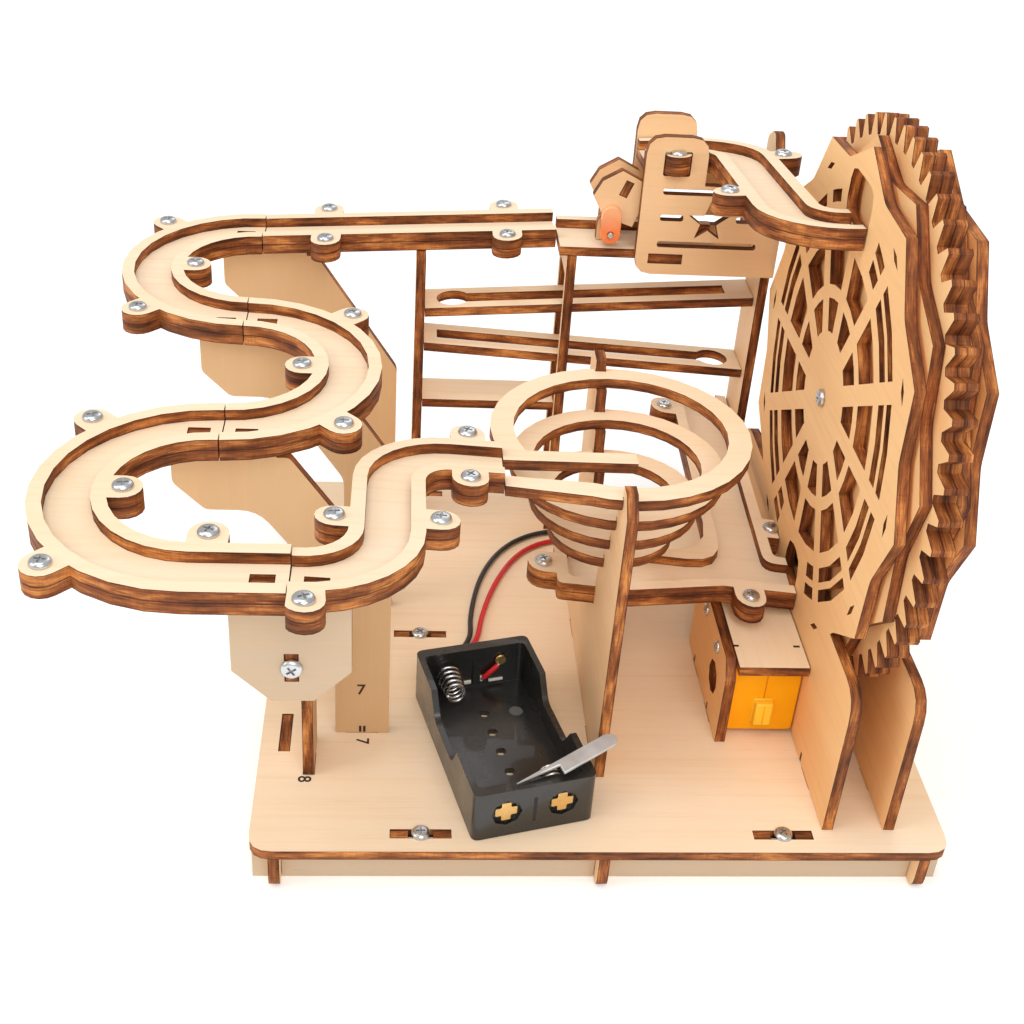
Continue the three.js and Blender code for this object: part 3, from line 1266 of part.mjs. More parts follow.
function gatePlates() {
  const earTop = upperTop(WINDOW_X, gateFrontY) + WINDOW_SPARE;
  const earLow = upperTop(WINDOW_X, gateFrontY) - 2 * PLY - WINDOW_SPARE;
  const slit = (left, length, rise, height = SLIT_H) => {
    const z = GATE_BOTTOM + rise;
    return opening(block(GATE_LEFT + left, z, GATE_LEFT + left + length, z + height, SLIT_R));
  };
  const middle = GATE_LEFT + GATE_STAR_X;
  const star = fivePointStar(middle, GATE_BOTTOM + SLIT_MIDDLE_Z, GATE_STAR_R, GATE_STAR_VALLEY);
  const holes = [
    opening(block(WINDOW_X - WINDOW_HALF, earLow, WINDOW_X + WINDOW_HALF, earTop, WINDOW_R)),
    slit(SLIT_IN, SLIT_HIGH_L, SLIT_HIGH_Z), slit(SLIT_IN, SLIT_SHORT_L, SLIT_MIDDLE_Z),
    slit(SLIT_FAR, SLIT_SHORT_L, SLIT_MIDDLE_Z), slit(SLIT_IN, SLIT_LOW_L, SLIT_LOW_Z), star, bedSlot(),
  ];
  add('gate_front', face(sheet(outline(gateOutline()), { holes, segments: 3 }), gateFrontY), plywood());
  const rearHoles = [
    slit(SLIT_IN, SLIT_HIGH_L, REAR_SLIT_HIGH_Z, REAR_SLIT_H),
    slit(SLIT_IN, SLIT_LOW_L, REAR_SLIT_LOW_Z, REAR_SLIT_H), bedSlot(),
  ];
  const rearPlate = sheet(outline(gateOutline()), { holes: rearHoles, segments: 3 });
  add('gate_rear', face(rearPlate, gateRearY), plywood());
}

function flipperBed() {
  const y0 = ZIG_FRONT;
  const y1 = zigInner;
  const tab = PLY + SEAM - SEAT;
  const tabLeft = BED_TAB_X - BED_TAB_L / 2;
  const tabRight = tabLeft + BED_TAB_L;
  const floor = outline([
    [BED_LEFT, y0], [tabLeft, y0], [tabLeft, y0 - tab], [tabRight, y0 - tab], [tabRight, y0], [bedRight, y0],
    [bedRight, y1], [tabRight, y1], [tabRight, y1 + tab], [tabLeft, y1 + tab], [tabLeft, y1], [BED_LEFT, y1],
  ]);
  const kerb = brick(BED_LEFT, bedRight, y1 - PLY, y1, BED_Z + PLY - OVERCUT, BED_Z + 2 * PLY);
  add('flipper_bed', fuse(lay(sheet(floor), BED_Z), [kerb]), plywood());

  const y = flipperFront + FLIPPER_W / 2;
  const yokeTop = PIVOT_Z + YOKE_HALF;
  const yoke = outline([
    [PIVOT_X - YOKE_HALF, BED_Z + PLY + SEAT], [PIVOT_X + YOKE_HALF, BED_Z + PLY + SEAT],
    [PIVOT_X + YOKE_HALF, yokeTop, YOKE_R], [PIVOT_X - YOKE_HALF, yokeTop, YOKE_R],
  ]);
  const hole = bore(PIVOT_X, PIVOT_Z, PIN_R + BORE_GAP);
  add('flipper_yoke', face(sheet(yoke, { holes: [hole] }), y - PLY / 2), plywood());
}

// Flipper: two many-sided cheeks joined by a spacer, on a pin held by the yoke
function flipper() {
  const cheek = () => outline([
    [-HEAD_BACK, HEAD_WAIST], [-NECK_HALF, NECK_TOP], [-NECK_HALF, -HUB_R / 2], [0, -HUB_R, NECK_HALF],
    [NECK_HALF, -HUB_R / 2], [CHIN_X / 2, CHIN_Z + NECK_HALF / 2], [CHIN_X, CHIN_Z], [HEAD_NOSE, HEAD_WAIST],
    [HEAD_NOSE - HEAD_CUT / 2, HEAD_SHOULDER], [HEAD_CROWN, HEAD_TOP], [HEAD_CUT - HEAD_BACK, HEAD_SHOULDER],
  ].map(([x, z, radius]) => [PIVOT_X + x, PIVOT_Z + z, radius]));
  const spacerAt = (grow) => {
    const corner = (a, b) => {
      const u = a * (SPACER_HALF_W + grow);
      const v = b * (SPACER_HALF_L + grow);
      const x = u * cos(SPACER_TURN) + v * sin(SPACER_TURN);
      const z = v * cos(SPACER_TURN) - u * sin(SPACER_TURN);
      return [PIVOT_X + SPACER_X + x, PIVOT_Z + SPACER_Z + z];
    };
    return [corner(-1, -1), corner(1, -1), corner(1, 1), corner(-1, 1)];
  };
  const holes = () => [bore(PIVOT_X, PIVOT_Z, PIN_R + BORE_GAP), opening(spacerAt(SLIDE))];
  const rear = flipperFront + FLIPPER_W - PLY;
  add('flipper_cheek_front', face(sheet(cheek(), { holes: holes() }), flipperFront), plywood());
  add('flipper_cheek_rear', face(sheet(cheek(), { holes: holes() }), rear), plywood());
  const length = FLIPPER_W - 2 * SEAT;
  const spacer = face(sheet(outline(spacerAt(0)), { depth: length }), flipperFront + SEAT, length);
  add('flipper_spacer', spacer, plywood());

  const hubFront = flipperFront - SEAT - HUB_T;
  const hubShape = new THREE.Shape();
  hubShape.absarc(PIVOT_X, PIVOT_Z, HUB_R, PI, 2 * PI);
  hubShape.absarc(PIVOT_X, PIVOT_Z + HUB_ARM, HUB_R, 0, PI);
  hubShape.closePath();
  const hub = sheet(hubShape, { holes: [bore(PIVOT_X, PIVOT_Z, PIN_R + BORE_GAP)], depth: HUB_T });
  add('flipper_hub', face(hub, hubFront, HUB_T), orangePlastic());

  const pinEnds = [hubFront - PIN_HEAD, rear + PLY + PIN_HEAD / 2];
  const pinLength = pinEnds[1] - pinEnds[0];
  const pin = new THREE.CylinderGeometry(PIN_R, PIN_R, pinLength, 12);
  add('flipper_pin', pin.translate(PIVOT_X, (pinEnds[0] + pinEnds[1]) / 2, PIVOT_Z), steel());
}

// Upper track: one ear reaches through the gate's window, and the gate's lobe slots into its inner wall
function upperTrack() {
  const first = trayRight - upperX - UPPER_R;
  const run = upperEndY - WHEEL_Y - 2 * UPPER_R;
  const last = upperX - UPPER_R - UPPER_END_X;
  const legs = route(trayRight, WHEEL_Y, PI, [
    ahead(first), right(UPPER_R, QUARTER), ahead(run), left(UPPER_R, QUARTER), ahead(last),
  ]);
  const turnL = UPPER_R * QUARTER;
  const windowS = first + 2 * turnL + run + (upperX - UPPER_R - WINDOW_X);
  const ears = [
    ear(legs, first + turnL + UPPER_EAR_Y - WHEEL_Y - UPPER_R, 1),
    ear(legs, first + turnL + run, -1),
    ear(legs, windowS, 1, EAR_REACH, WINDOW_HALF - SEAM),
  ];
  const bar = zigRight - PLY / 2 - SEAM;
  const trim = brick(bar, bar + 4 * EAR_R, ZIG_FRONT - SEAM, zigBack, -OVERCUT, 3 * PLY);
  const lobeSlot = brick(
    upperX - UPPER_R - SEAM, lobeRight + SEAM, gateFrontY - SEAM, ZIG_FRONT, -OVERCUT, 3 * PLY,
  );
  add('upper_track', track(legs, ears, [], upperTop, [trim, lobeSlot]), plywood());
}

// Base plate with every slot that the standing plates use, and the rails and boards under it
const boardY = [BOARD_INSET, BOARD_MIDDLE_Y, BASE_D - BOARD_INSET];
const boardTop = -PLY - SEAT;
const lapZ = boardTop - RAIL_H / 2;
const railLow = -PLY - RAIL_H;

function rails() {
  const places = { rail_left: -railX, rail_middle: 0, rail_right: railX };
  for (const [name, x] of Object.entries(places)) {
    const tabbed = x !== 0;
    const notches = boardY.toReversed().flatMap((y) => [
      [y + slotHalf, boardTop], [y + slotHalf, lapZ], [y - slotHalf, lapZ], [y - slotHalf, boardTop],
    ]);
    const tabFront = RAIL_TAB_Y - RAIL_TAB_L / 2;
    const tabBack = RAIL_TAB_Y + RAIL_TAB_L / 2;
    const tab = [[tabBack, boardTop], [tabBack, -2 * SEAT], [tabFront, -2 * SEAT], [tabFront, boardTop]];
    if (tabbed) notches.splice(-4, 0, ...tab);
    const shape = outline([
      [SEAT, railLow, RAIL_R], [BASE_D - SEAT, railLow, RAIL_R], [BASE_D - SEAT, boardTop],
      ...notches, [SEAT, boardTop],
    ]);
    add(name, stand(sheet(shape), x - PLY / 2), plywood());
    if (tabbed) baseSlots.push(block(x - slotHalf, tabFront - SLIDE, x + slotHalf, tabBack + SLIDE));
  }
}

function crossBoards() {
  const names = ['cross_board_front', 'cross_board_middle', 'cross_board_back'];
  names.forEach((name, i) => {
    const y = boardY[i];
    const end = BASE_W / 2 - BOARD_END;
    const laps = [-railX, 0, railX].flatMap((x) => [
      [x - slotHalf, railLow], [x - slotHalf, lapZ + SEAT],
      [x + slotHalf, lapZ + SEAT], [x + slotHalf, railLow],
    ]);
    const tabs = [1, -1].flatMap((side) => [1, -1].flatMap((half) => {
      const a = side * screwX + half * SCREW_GAP / 2;
      const b = side * screwX + half * (SCREW_SLOT_L / 2 - SLIDE);
      const [high, low] = [a, b].sort((p, q) => q - p);
      return [[high, boardTop], [high, -2 * SEAT], [low, -2 * SEAT], [low, boardTop]];
    }));
    const shape = outline([
      [-end, railLow], ...laps, [end, railLow], [end, boardTop], ...tabs, [-end, boardTop],
    ]);
    add(name, face(sheet(shape), y - PLY / 2), plywood());
    for (const side of [-1, 1]) {
      const x = side * screwX;
      baseSlots.push(block(x - SCREW_SLOT_L / 2, y - slotHalf, x + SCREW_SLOT_L / 2, y + slotHalf));
    }
  });
}

function basePlate() {
  const plate = outline(block(-BASE_W / 2, 0, BASE_W / 2, BASE_D, BASE_R));
  const slots = sheet(baseSlots.map((corners) => outline(corners)), { depth: PLY + 2 * OVERCUT });
  add('base_plate', carve(lay(sheet(plate), -PLY), [lay(slots, -PLY - OVERCUT)]), plywood());
}

curveTracks();
armPlate('arm_plate_back', 0);
armPlate('arm_plate_middle', 1);
armPlate('arm_plate_front', 2);
frontSupport();
funnelRings();
funnelRib();
tray();
wheelFrames();
wheelStack();
motor();
batteryCase();
springs();
contacts();
leads();
zigzagPosts();
zigzagRamps();
gatePlates();
flipperBed();
flipper();
upperTrack();
rails();
crossBoards();
basePlate();

export default model;
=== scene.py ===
import json
import math

import bmesh
import bpy
from mathutils import Matrix, Vector


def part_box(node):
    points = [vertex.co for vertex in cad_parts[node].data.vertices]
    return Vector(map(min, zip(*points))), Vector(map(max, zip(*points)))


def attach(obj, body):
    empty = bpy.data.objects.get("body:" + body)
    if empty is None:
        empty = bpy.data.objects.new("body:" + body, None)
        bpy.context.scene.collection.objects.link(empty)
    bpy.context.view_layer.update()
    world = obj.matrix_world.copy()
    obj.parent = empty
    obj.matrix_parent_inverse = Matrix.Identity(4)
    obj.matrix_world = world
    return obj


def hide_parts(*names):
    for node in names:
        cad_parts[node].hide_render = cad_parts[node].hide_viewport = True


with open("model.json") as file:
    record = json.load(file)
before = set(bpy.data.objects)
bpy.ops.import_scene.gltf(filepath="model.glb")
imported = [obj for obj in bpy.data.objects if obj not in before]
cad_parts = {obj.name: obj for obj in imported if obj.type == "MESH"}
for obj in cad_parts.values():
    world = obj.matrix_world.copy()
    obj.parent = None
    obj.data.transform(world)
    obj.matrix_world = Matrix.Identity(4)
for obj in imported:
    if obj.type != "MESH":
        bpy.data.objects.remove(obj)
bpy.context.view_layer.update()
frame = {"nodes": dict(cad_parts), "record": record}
NODES = frame["nodes"]
RECORD = frame["record"]
SLOT = {part["node"]: part["material_slot"] for part in RECORD["subparts"]}
BODY = {node: body for body, members in RECORD["behaviour"]["bodies"].items() for node in members}
scene = bpy.context.scene
scene.view_settings.view_transform = "Standard"

# Sizes in millimetres, measured from the front edge and the top of the base plate
MM = 0.001
PLY = 2.8
SEAM = 0.3
UV_PER_METRE = 100
FACING = 0.7  # least cosine between a face and a direction that it counts as facing
BASE_LOW, BASE_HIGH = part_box("base_plate")
DECK = Vector((0, BASE_LOW.y, BASE_HIGH.z))


def deck(x, y, z):
    """A point over the base plate, in the frame's metres."""
    return Vector((x, y, z)) * MM + DECK


# Camera
EYE = deck(-53.679, -250.714, 264.860)
EYE_TURN = (56.787, -3.5323, -3.1569)
camera = bpy.data.objects.new("camera", bpy.data.cameras.new("camera"))
camera.data.lens = 50.699
camera.data.sensor_width = 36
camera.data.clip_start = 0.01
camera.data.dof.use_dof = False
camera.location = EYE
camera.rotation_euler = [math.radians(angle) for angle in EYE_TURN]
scene.collection.objects.link(camera)
scene.camera = camera


# Finishes
class Finish:
    """A procedural material, with short calls for the nodes that it needs."""

    def __init__(self, name):
        self.material = bpy.data.materials.new(name)
        self.material.use_nodes = True
        self.tree = self.material.node_tree
        self.shader = self.tree.nodes["Principled BSDF"]

    def join(self, value, socket):
        if isinstance(value, bpy.types.NodeSocket):
            self.tree.links.new(value, socket)
        elif isinstance(value, tuple) and socket.type == "RGBA":
            socket.default_value = (*value, 1)
        else:
            socket.default_value = value

    def node(self, kind, *inputs, **settings):
        node = self.tree.nodes.new(kind)
        for key, value in settings.items():
            setattr(node, key, value)
        for socket, value in inputs:
            self.join(value, node.inputs[socket])
        return node

    def uv(self, name):
        return self.node("ShaderNodeUVMap", uv_map=name).outputs["UV"]

    def place(self):
        return self.node("ShaderNodeTexCoord").outputs["Object"]

    def stretched(self, vector, x, y, z=1.0):
        node = self.node("ShaderNodeVectorMath", (0, vector), (1, (x, y, z)), operation="MULTIPLY")
        return node.outputs[0]

    def along(self, vector, axis):
        return self.node("ShaderNodeSeparateXYZ", (0, vector)).outputs[axis]

    def math(self, operation, a, b=0.0):
        return self.node("ShaderNodeMath", (0, a), (1, b), operation=operation).outputs[0]

    def noise(self, vector, scale, detail=3.0, rough=0.5):
        inputs = (("Vector", vector), ("Scale", scale), ("Detail", detail), ("Roughness", rough))
        return self.node("ShaderNodeTexNoise", *inputs).outputs["Fac"]

    def span(self, value, low, high, at_low=0.0, at_high=1.0):
        ends = (("From Min", low), ("From Max", high), ("To Min", at_low), ("To Max", at_high))
        return self.node("ShaderNodeMapRange", ("Value", value), *ends).outputs["Result"]

    def mixed(self, share, a, b):
        inputs = ((0, share), (6, a), (7, b))
        return self.node("ShaderNodeMix", *inputs, data_type="RGBA").outputs[2]

    def bump(self, height, strength, distance):
        inputs = (("Height", height), ("Strength", strength), ("Distance", distance))
        self.join(self.node("ShaderNodeBump", *inputs).outputs["Normal"], self.shader.inputs["Normal"])

    def done(self, **inputs):
        for key, value in inputs.items():
            self.join(value, self.shader.inputs[key.replace("_", " ")])
        return self.material


STREAK = (0.74, 0.45, 0.225)
FIBRE_DARK = (0.64, 0.38, 0.18)
FIBRE_LIGHT = (0.95, 0.78, 0.56)
BURN_DEEP = (0.07, 0.016, 0.004)
BURN_BROWN = (0.25, 0.067, 0.015)
BURN_AMBER = (0.70, 0.27, 0.07)
CORE = (0.56, 0.22, 0.06)
SCORCH = (0.05, 0.014, 0.006)
CHAR = (0.026, 0.009, 0.005)
WOOD_SHINE = 0.25
WOOD_RELIEF = 0.0002


def face_wood(name, pale, deep):
    """Sanded plywood face between two tones; the sheet's UV is in centimetres with the grain along U."""
    f = Finish(name)
    uv = f.uv("Sheet")
    cloud = f.noise(f.stretched(uv, 0.06, 0.35), 1.0)
    streak = f.noise(f.stretched(uv, 0.12, 5.0), 1.0, 4, 0.6)
    fine = f.noise(f.stretched(uv, 1.2, 34.0), 1.0, 3, 0.65)
    tone = f.mixed(f.span(cloud, 0.3, 0.7), deep, pale)
    tone = f.mixed(f.span(streak, 0.5, 0.75, 0, 0.3), tone, STREAK)
    tone = f.mixed(f.span(fine, 0.55, 0.85, 0, 0.3), tone, FIBRE_DARK)
    tone = f.mixed(f.span(fine, 0.4, 0.15, 0, 0.2), tone, FIBRE_LIGHT)
    f.bump(fine, 0.14, WOOD_RELIEF)
    roughness = f.span(streak, 0.3, 0.7, 0.5, 0.66)
    return f.done(Base_Color=tone, Roughness=roughness, Specular_IOR_Level=WOOD_SHINE)


def edge_wood():
    """Burnt laser-cut edge; the sheet's UV is in centimetres and its height is counted in sheets."""
    f = Finish("ply_edge")
    sheet = f.uv("Sheet")
    height = f.along(f.uv("Height"), 0)

    def spot(run, rise):
        """A place on the edge, stretched along the sheet and across its thickness."""
        parts = ((0, f.along(sheet, 0)), (1, f.along(sheet, 1)), (2, height))
        return f.stretched(f.node("ShaderNodeCombineXYZ", *parts).outputs[0], run, run, rise)

    layer = f.math("FRACT", f.math("MAXIMUM", f.math("SUBTRACT", height, 0.0005), 0.0))
    blotch = f.noise(spot(0.7, 0.9), 1.0, 3, 0.55)
    grain = f.noise(spot(2.2, 9.0), 1.0, 4, 0.65)
    scorch = f.noise(spot(16.0, 0.6), 1.0, 2, 0.5)
    rim = f.math("ABSOLUTE", f.math("SUBTRACT", layer, 0.5))
    heat = f.math("ADD", f.math("MULTIPLY", blotch, 0.75), f.math("MULTIPLY", grain, 0.45))
    tone = f.mixed(f.span(heat, 0.47, 0.62), BURN_DEEP, BURN_BROWN)
    tone = f.mixed(f.span(heat, 0.62, 0.78), tone, BURN_AMBER)
    tone = f.mixed(f.span(rim, 0.20, 0.10, 0, 0.15), tone, CORE)
    tone = f.mixed(f.span(scorch, 0.5, 0.8, 0, 0.3), tone, SCORCH)
    tone = f.mixed(f.span(rim, 0.40, 0.49, 0, 0.9), tone, CHAR)
    f.bump(f.math("ADD", grain, f.math("MULTIPLY", scorch, 0.6)), 0.35, WOOD_RELIEF)
    roughness = f.span(grain, 0.3, 0.7, 0.5, 0.75)
    return f.done(Base_Color=tone, Roughness=roughness, Specular_IOR_Level=WOOD_SHINE)


def metal(name, color, rough):
    """Bare or plated metal with fine wear and a little fog."""
    f = Finish(name)
    place = f.place()
    wear = f.noise(place, 900.0, 3, 0.6)
    fog = f.noise(place, 160.0, 2, 0.5)
    tone = f.mixed(f.span(fog, 0.35, 0.7, 0, 0.4), color, tuple(c * 0.72 for c in color))
    f.bump(wear, 0.06, 0.0001)
    roughness = f.span(wear, 0.3, 0.7, rough * 0.75, rough * 1.35)
    return f.done(Base_Color=tone, Metallic=1.0, Roughness=roughness)


def plastic(name, color, rough, texture=0.08, coat=0.0, shine=0.5, tone=None):
    """Moulded plastic; tone makes the colour where it isn't the same all over."""
    f = Finish(name)
    place = f.place()
    pit = f.noise(place, 1400.0, 3, 0.6)
    haze = f.noise(place, 90.0, 3, 0.55)
    base = tone(f, place) if tone else color
    light = tuple(min(1.0, c * 1.25 + 0.006) for c in color)
    shade = f.mixed(f.span(haze, 0.35, 0.75, 0, 0.6), base, light)
    f.bump(pit, texture, 0.0001)
    roughness = f.span(haze, 0.3, 0.75, rough * 0.75, rough * 1.25)
    return f.done(Base_Color=shade, Roughness=roughness, Coat_Weight=coat, Specular_IOR_Level=shine)


HUB_DEEP = (0.90, 0.19, 0.04)
HUB_PALE = (0.90, 0.53, 0.29)
HUB_DEEP_SHARE = 0.35


def hub_tone(f, place):
    """Orange round the pin, paler towards the end of the arm."""
    low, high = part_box("flipper_hub")
    rise = f.span(f.along(place, 2), low.z + HUB_DEEP_SHARE * (high.z - low.z), high.z)
    return f.mixed(rise, HUB_DEEP, HUB_PALE)


def film(name):
    """Glossy grey film with a faint cloud."""
    f = Finish(name)
    cloud = f.noise(f.place(), 140.0)
    tone = f.mixed(f.span(cloud, 0.3, 0.75), (0.40, 0.40, 0.40), (0.60, 0.595, 0.58))
    roughness = f.span(cloud, 0.3, 0.7, 0.12, 0.28)
    return f.done(Base_Color=tone, Roughness=roughness, Metallic=0.25, Coat_Weight=0.5)


# Plywood face tones: the lying tone is the plywood's own; the other tones are copies of it with painted
# shade.
FACE_LYING = face_wood("ply_lying", (0.88, 0.70, 0.51), (0.84, 0.64, 0.43))
# Upright sheets: a warmer, more saturated copy, painted warm shade on faces that stand upright.
FACE_UPRIGHT_PAINTED_SHADE = face_wood("ply_upright_painted_shade", (0.90, 0.62, 0.36), (0.84, 0.53, 0.28))
# Wheel frames, star plates, gear and motor bracket: a more saturated orange copy, painted warm shade
# standing in for light bounced off the wood.
FACE_WHEEL_PAINTED_WARM_SHADE = face_wood("ply_wheel_painted_warm_shade", (0.97, 0.62, 0.30), (0.91, 0.53, 0.235))
# Arm plates and leaning support at the front left: a darker copy, painted shade.
FACE_ARM_PAINTED_SHADE = face_wood("ply_arm_painted_shade", (0.68, 0.45, 0.245), (0.62, 0.38, 0.19))
# Front bracket and cross boards under the base plate: a greyer, darker copy, painted shade.
FACE_GREY_PAINTED_SHADE = face_wood("ply_grey_painted_shade", (0.57, 0.44, 0.31), (0.53, 0.39, 0.26))
EDGE = edge_wood()
ZINC = metal("zinc", (0.62, 0.63, 0.64), 0.27)
# Darker, rougher metal for the screws' cross recesses: painted shade in the recess.
RECESS_PAINTED_SHADE = metal("recess", (0.46, 0.46, 0.465), 0.55)
BRASS = metal("brass", (0.80, 0.53, 0.21), 0.3)
SPRING_STEEL = metal("spring_steel", (0.66, 0.66, 0.66), 0.22)
TIN = plastic("tin_clip", (0.72, 0.69, 0.62), 0.4, 0.05)
BLACK = plastic("black_plastic", (0.010, 0.0098, 0.0088), 0.3, 0.06, coat=0.25, shine=0.6)
# Near-black for the case's slots: painted shade in the openings.
SLOT_PAINTED_SHADE = plastic("slot_painted_shade", (0.003, 0.003, 0.003), 0.6, 0.1)
GREY = plastic("gate_mark", (0.10, 0.10, 0.097), 0.4, 0.1)
YELLOW = plastic("yellow_plastic", (0.93, 0.385, 0.0), 0.45, 0.05, shine=0.2)
YELLOW_LIGHT = plastic("yellow_nub", (0.97, 0.55, 0.025), 0.4, 0.05)
AMBER = plastic("amber_seam", (0.66, 0.21, 0.002), 0.5, 0.05, shine=0.2)
ORANGE = plastic("orange_plastic", (0.90, 0.27, 0.08), 0.34, 0.05, coat=0.3, tone=hub_tone)
WHITE = plastic("white_plastic", (0.86, 0.83, 0.74), 0.45, 0.05)
SLEEVE_RED = plastic("red_sleeve", (0.56, 0.010, 0.014), 0.42, 0.06)
SLEEVE_BLACK = plastic("black_sleeve", (0.018, 0.015, 0.014), 0.45, 0.06)
FILM = film("grey_film")
BURNT = plastic("burnt_mark", (0.035, 0.012, 0.006), 0.75, 0.2)


# Pieces
def piece(name, data, body, slot, *replaced):
    """An object that rides a body and may take the place of nodes."""
    obj = bpy.data.objects.new(name, data)
    scene.collection.objects.link(obj)
    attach(obj, body)
    if replaced:
        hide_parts(*replaced)
    return obj


def to_mesh(name, bm, materials, angle=None):
    """The mesh of a bmesh, smooth where its faces meet at less than the angle, or as its edges say."""
    mesh = bpy.data.meshes.new(name)
    bm.to_mesh(mesh)
    bm.free()
    carried = mesh.attributes.get("custom_normal")
    if carried:
        mesh.attributes.remove(carried)
    for material in materials:
        mesh.materials.append(material)
    mesh.polygons.foreach_set("use_smooth", [True] * len(mesh.polygons))
    if angle:
        mesh.set_sharp_from_angle(angle=math.radians(angle))
    return mesh


JOIN_GAP = 2e-6


def copied(node):
    """The node's shape as a bmesh with its split corners joined again."""
    bm = bmesh.new()
    bm.from_mesh(NODES[node].data)
    bmesh.ops.remove_doubles(bm, verts=bm.verts, dist=JOIN_GAP)
    bm.normal_update()
    return bm


def wire(name, points, diameter, material, body, slot, *replaced):
    """A round wire or lead along points."""
    curve = bpy.data.curves.new(name, "CURVE")
    curve.dimensions = "3D"
    curve.bevel_depth = diameter / 2 * MM
    curve.bevel_resolution = 4
    curve.use_fill_caps = True
    spline = curve.splines.new("POLY")
    spline.points.add(len(points) - 1)
    for target, point in zip(spline.points, points):
        target.co = (*point, 1)
    spline.use_smooth = True
    curve.materials.append(material)
    return piece(name, curve, body, slot, *replaced)


# The battery case lies turned on the base; u is across it, v along it and w up
CASE_W = 32
CASE_L = 58
CASE_END = 3
CASE_FLOOR = 1.8
CASE_CORNER = (-33.25, 3.25, 0.15)
CASE_TURN = math.radians(14.4)
CELL_SHARES = (0.27, 0.73)
CELL_W = 7.7
CASE_TURNED = Matrix.Rotation(CASE_TURN, 4, "Z") @ Matrix.Scale(MM, 4)
CASE_PLACE = Matrix.Translation(deck(*CASE_CORNER)) @ CASE_TURNED


def in_case(u, v, w):
    """A point of the battery case, in the frame's metres."""
    return CASE_PLACE @ Vector((u, v, w))


# Leads: the same routes as the solids, from the rear of the case to the motor
LEAD_D = 1.5
LEAD_REST = LEAD_D / 2 + SEAM
LEAD_EXIT_W = 4 - CASE_CORNER[2]
CAN_BACK = 105.15
SHAFT_Z = 12.6
LEAD_STEPS = 6


def lead_route(u, x, middle):
    """Points of one lead in metres: out of the case, over the base and up to the motor's terminal."""
    rest_w = LEAD_REST + LEAD_D / 4 - CASE_CORNER[2]
    start = [
        in_case(u, CASE_L + SEAM, LEAD_EXIT_W), in_case(u, CASE_L + 2 * LEAD_D, LEAD_EXIT_W - LEAD_D / 2),
        in_case(u, CASE_L + 6 * LEAD_D, rest_w),
    ]
    end = [
        (x, CAN_BACK + 7 * LEAD_D, LEAD_REST + 2 * LEAD_D), (x, CAN_BACK + 3 * LEAD_D, SHAFT_Z - 2 * LEAD_D),
        (x, CAN_BACK + LEAD_D, SHAFT_Z - LEAD_D / 4), (x, CAN_BACK + SEAM, SHAFT_Z),
    ]
    return start + [deck(px, py, LEAD_REST) for px, py in middle] + [deck(*point) for point in end]


def curve_through(points):
    """Points on a centripetal curve that passes through the given ones."""
    ends = [points[0] * 2 - points[1], *points, points[-1] * 2 - points[-2]]
    out = []
    for p0, p1, p2, p3 in zip(ends, ends[1:], ends[2:], ends[3:]):
        t1 = (p1 - p0).length ** 0.5
        t2 = t1 + (p2 - p1).length ** 0.5
        t3 = t2 + (p3 - p2).length ** 0.5
        for step in range(LEAD_STEPS):
            t = t1 + (t2 - t1) * step / LEAD_STEPS
            middle = p1.lerp(p2, (t - t1) / (t2 - t1))
            before = p0.lerp(p1, t / t1).lerp(middle, t / t2)
            after = middle.lerp(p2.lerp(p3, (t - t2) / (t3 - t2)), (t - t1) / (t3 - t1))
            out.append(before.lerp(after, (t - t1) / (t2 - t1)))
    return out + [points[-1].copy()]


def lead(name, node, material, route):
    """One lead along its route."""
    points = curve_through(route)
    obj = wire(name, points, LEAD_D, material, BODY[node], SLOT[node], node)


lead("lead_black", "wire_black", SLEEVE_BLACK, lead_route(14.5, 52.6, [
    (-31.5, 84), (-30.9, 93), (-29.7, 102), (-27.8, 111), (-25, 119.4), (-20.8, 127.6), (-15, 134.4),
    (-7.4, 139), (1.4, 140.6), (10.6, 139.6), (20, 136.8), (30, 132), (39, 126.4),
]))
lead("lead_red", "wire_red", SLEEVE_RED, lead_route(17.5, 41.0, [
    (-29.2, 84), (-27.6, 93), (-25.6, 101.5), (-23, 109.8), (-19.8, 117.6), (-16, 124.6), (-11, 130.4),
    (-4.2, 134.4), (3.8, 135.8), (12, 134.4), (20.4, 131), (28.6, 126.2), (35.6, 120.4),
]))


# Plywood: pale faces, burnt edges and the grain along the sheet
UPRIGHT_GRAIN = ("arm_plate", "zigzag_post", "motor_cover")
# Pieces with a face tone of their own, each a copy of the plywood with painted shade.
TONES = {
    "arm_plate": FACE_ARM_PAINTED_SHADE, "leaning_support": FACE_ARM_PAINTED_SHADE,
    "front_bracket": FACE_GREY_PAINTED_SHADE, "cross_board": FACE_GREY_PAINTED_SHADE,
    "wheel_frame": FACE_WHEEL_PAINTED_WARM_SHADE, "star_plate": FACE_WHEEL_PAINTED_WARM_SHADE,
    "lift_gear": FACE_WHEEL_PAINTED_WARM_SHADE, "motor_bracket": FACE_WHEEL_PAINTED_WARM_SHADE,
}
HEADING_STEPS = 4
SAME_WAY = 0.95
SHEET_ANGLE = 28
SHIFT_BY_LENGTH = 7.3
SHIFT_BY_LETTERS = 0.37


def sheet_normal(bm):
    """Unit normal of the sheet that a piece is cut from: the direction that most of its area faces."""
    areas = {}
    for face in bm.faces:
        heading = tuple(round(HEADING_STEPS * c) for c in face.normal)
        heading = max(heading, tuple(-c for c in heading))
        areas[heading] = areas.get(heading, 0) + face.calc_area()
    side = Vector(max(areas, key=areas.get)).normalized()
    facing = (face.normal * face.calc_area() for face in bm.faces if face.normal.dot(side) > SAME_WAY)
    return sum(facing, Vector()).normalized()


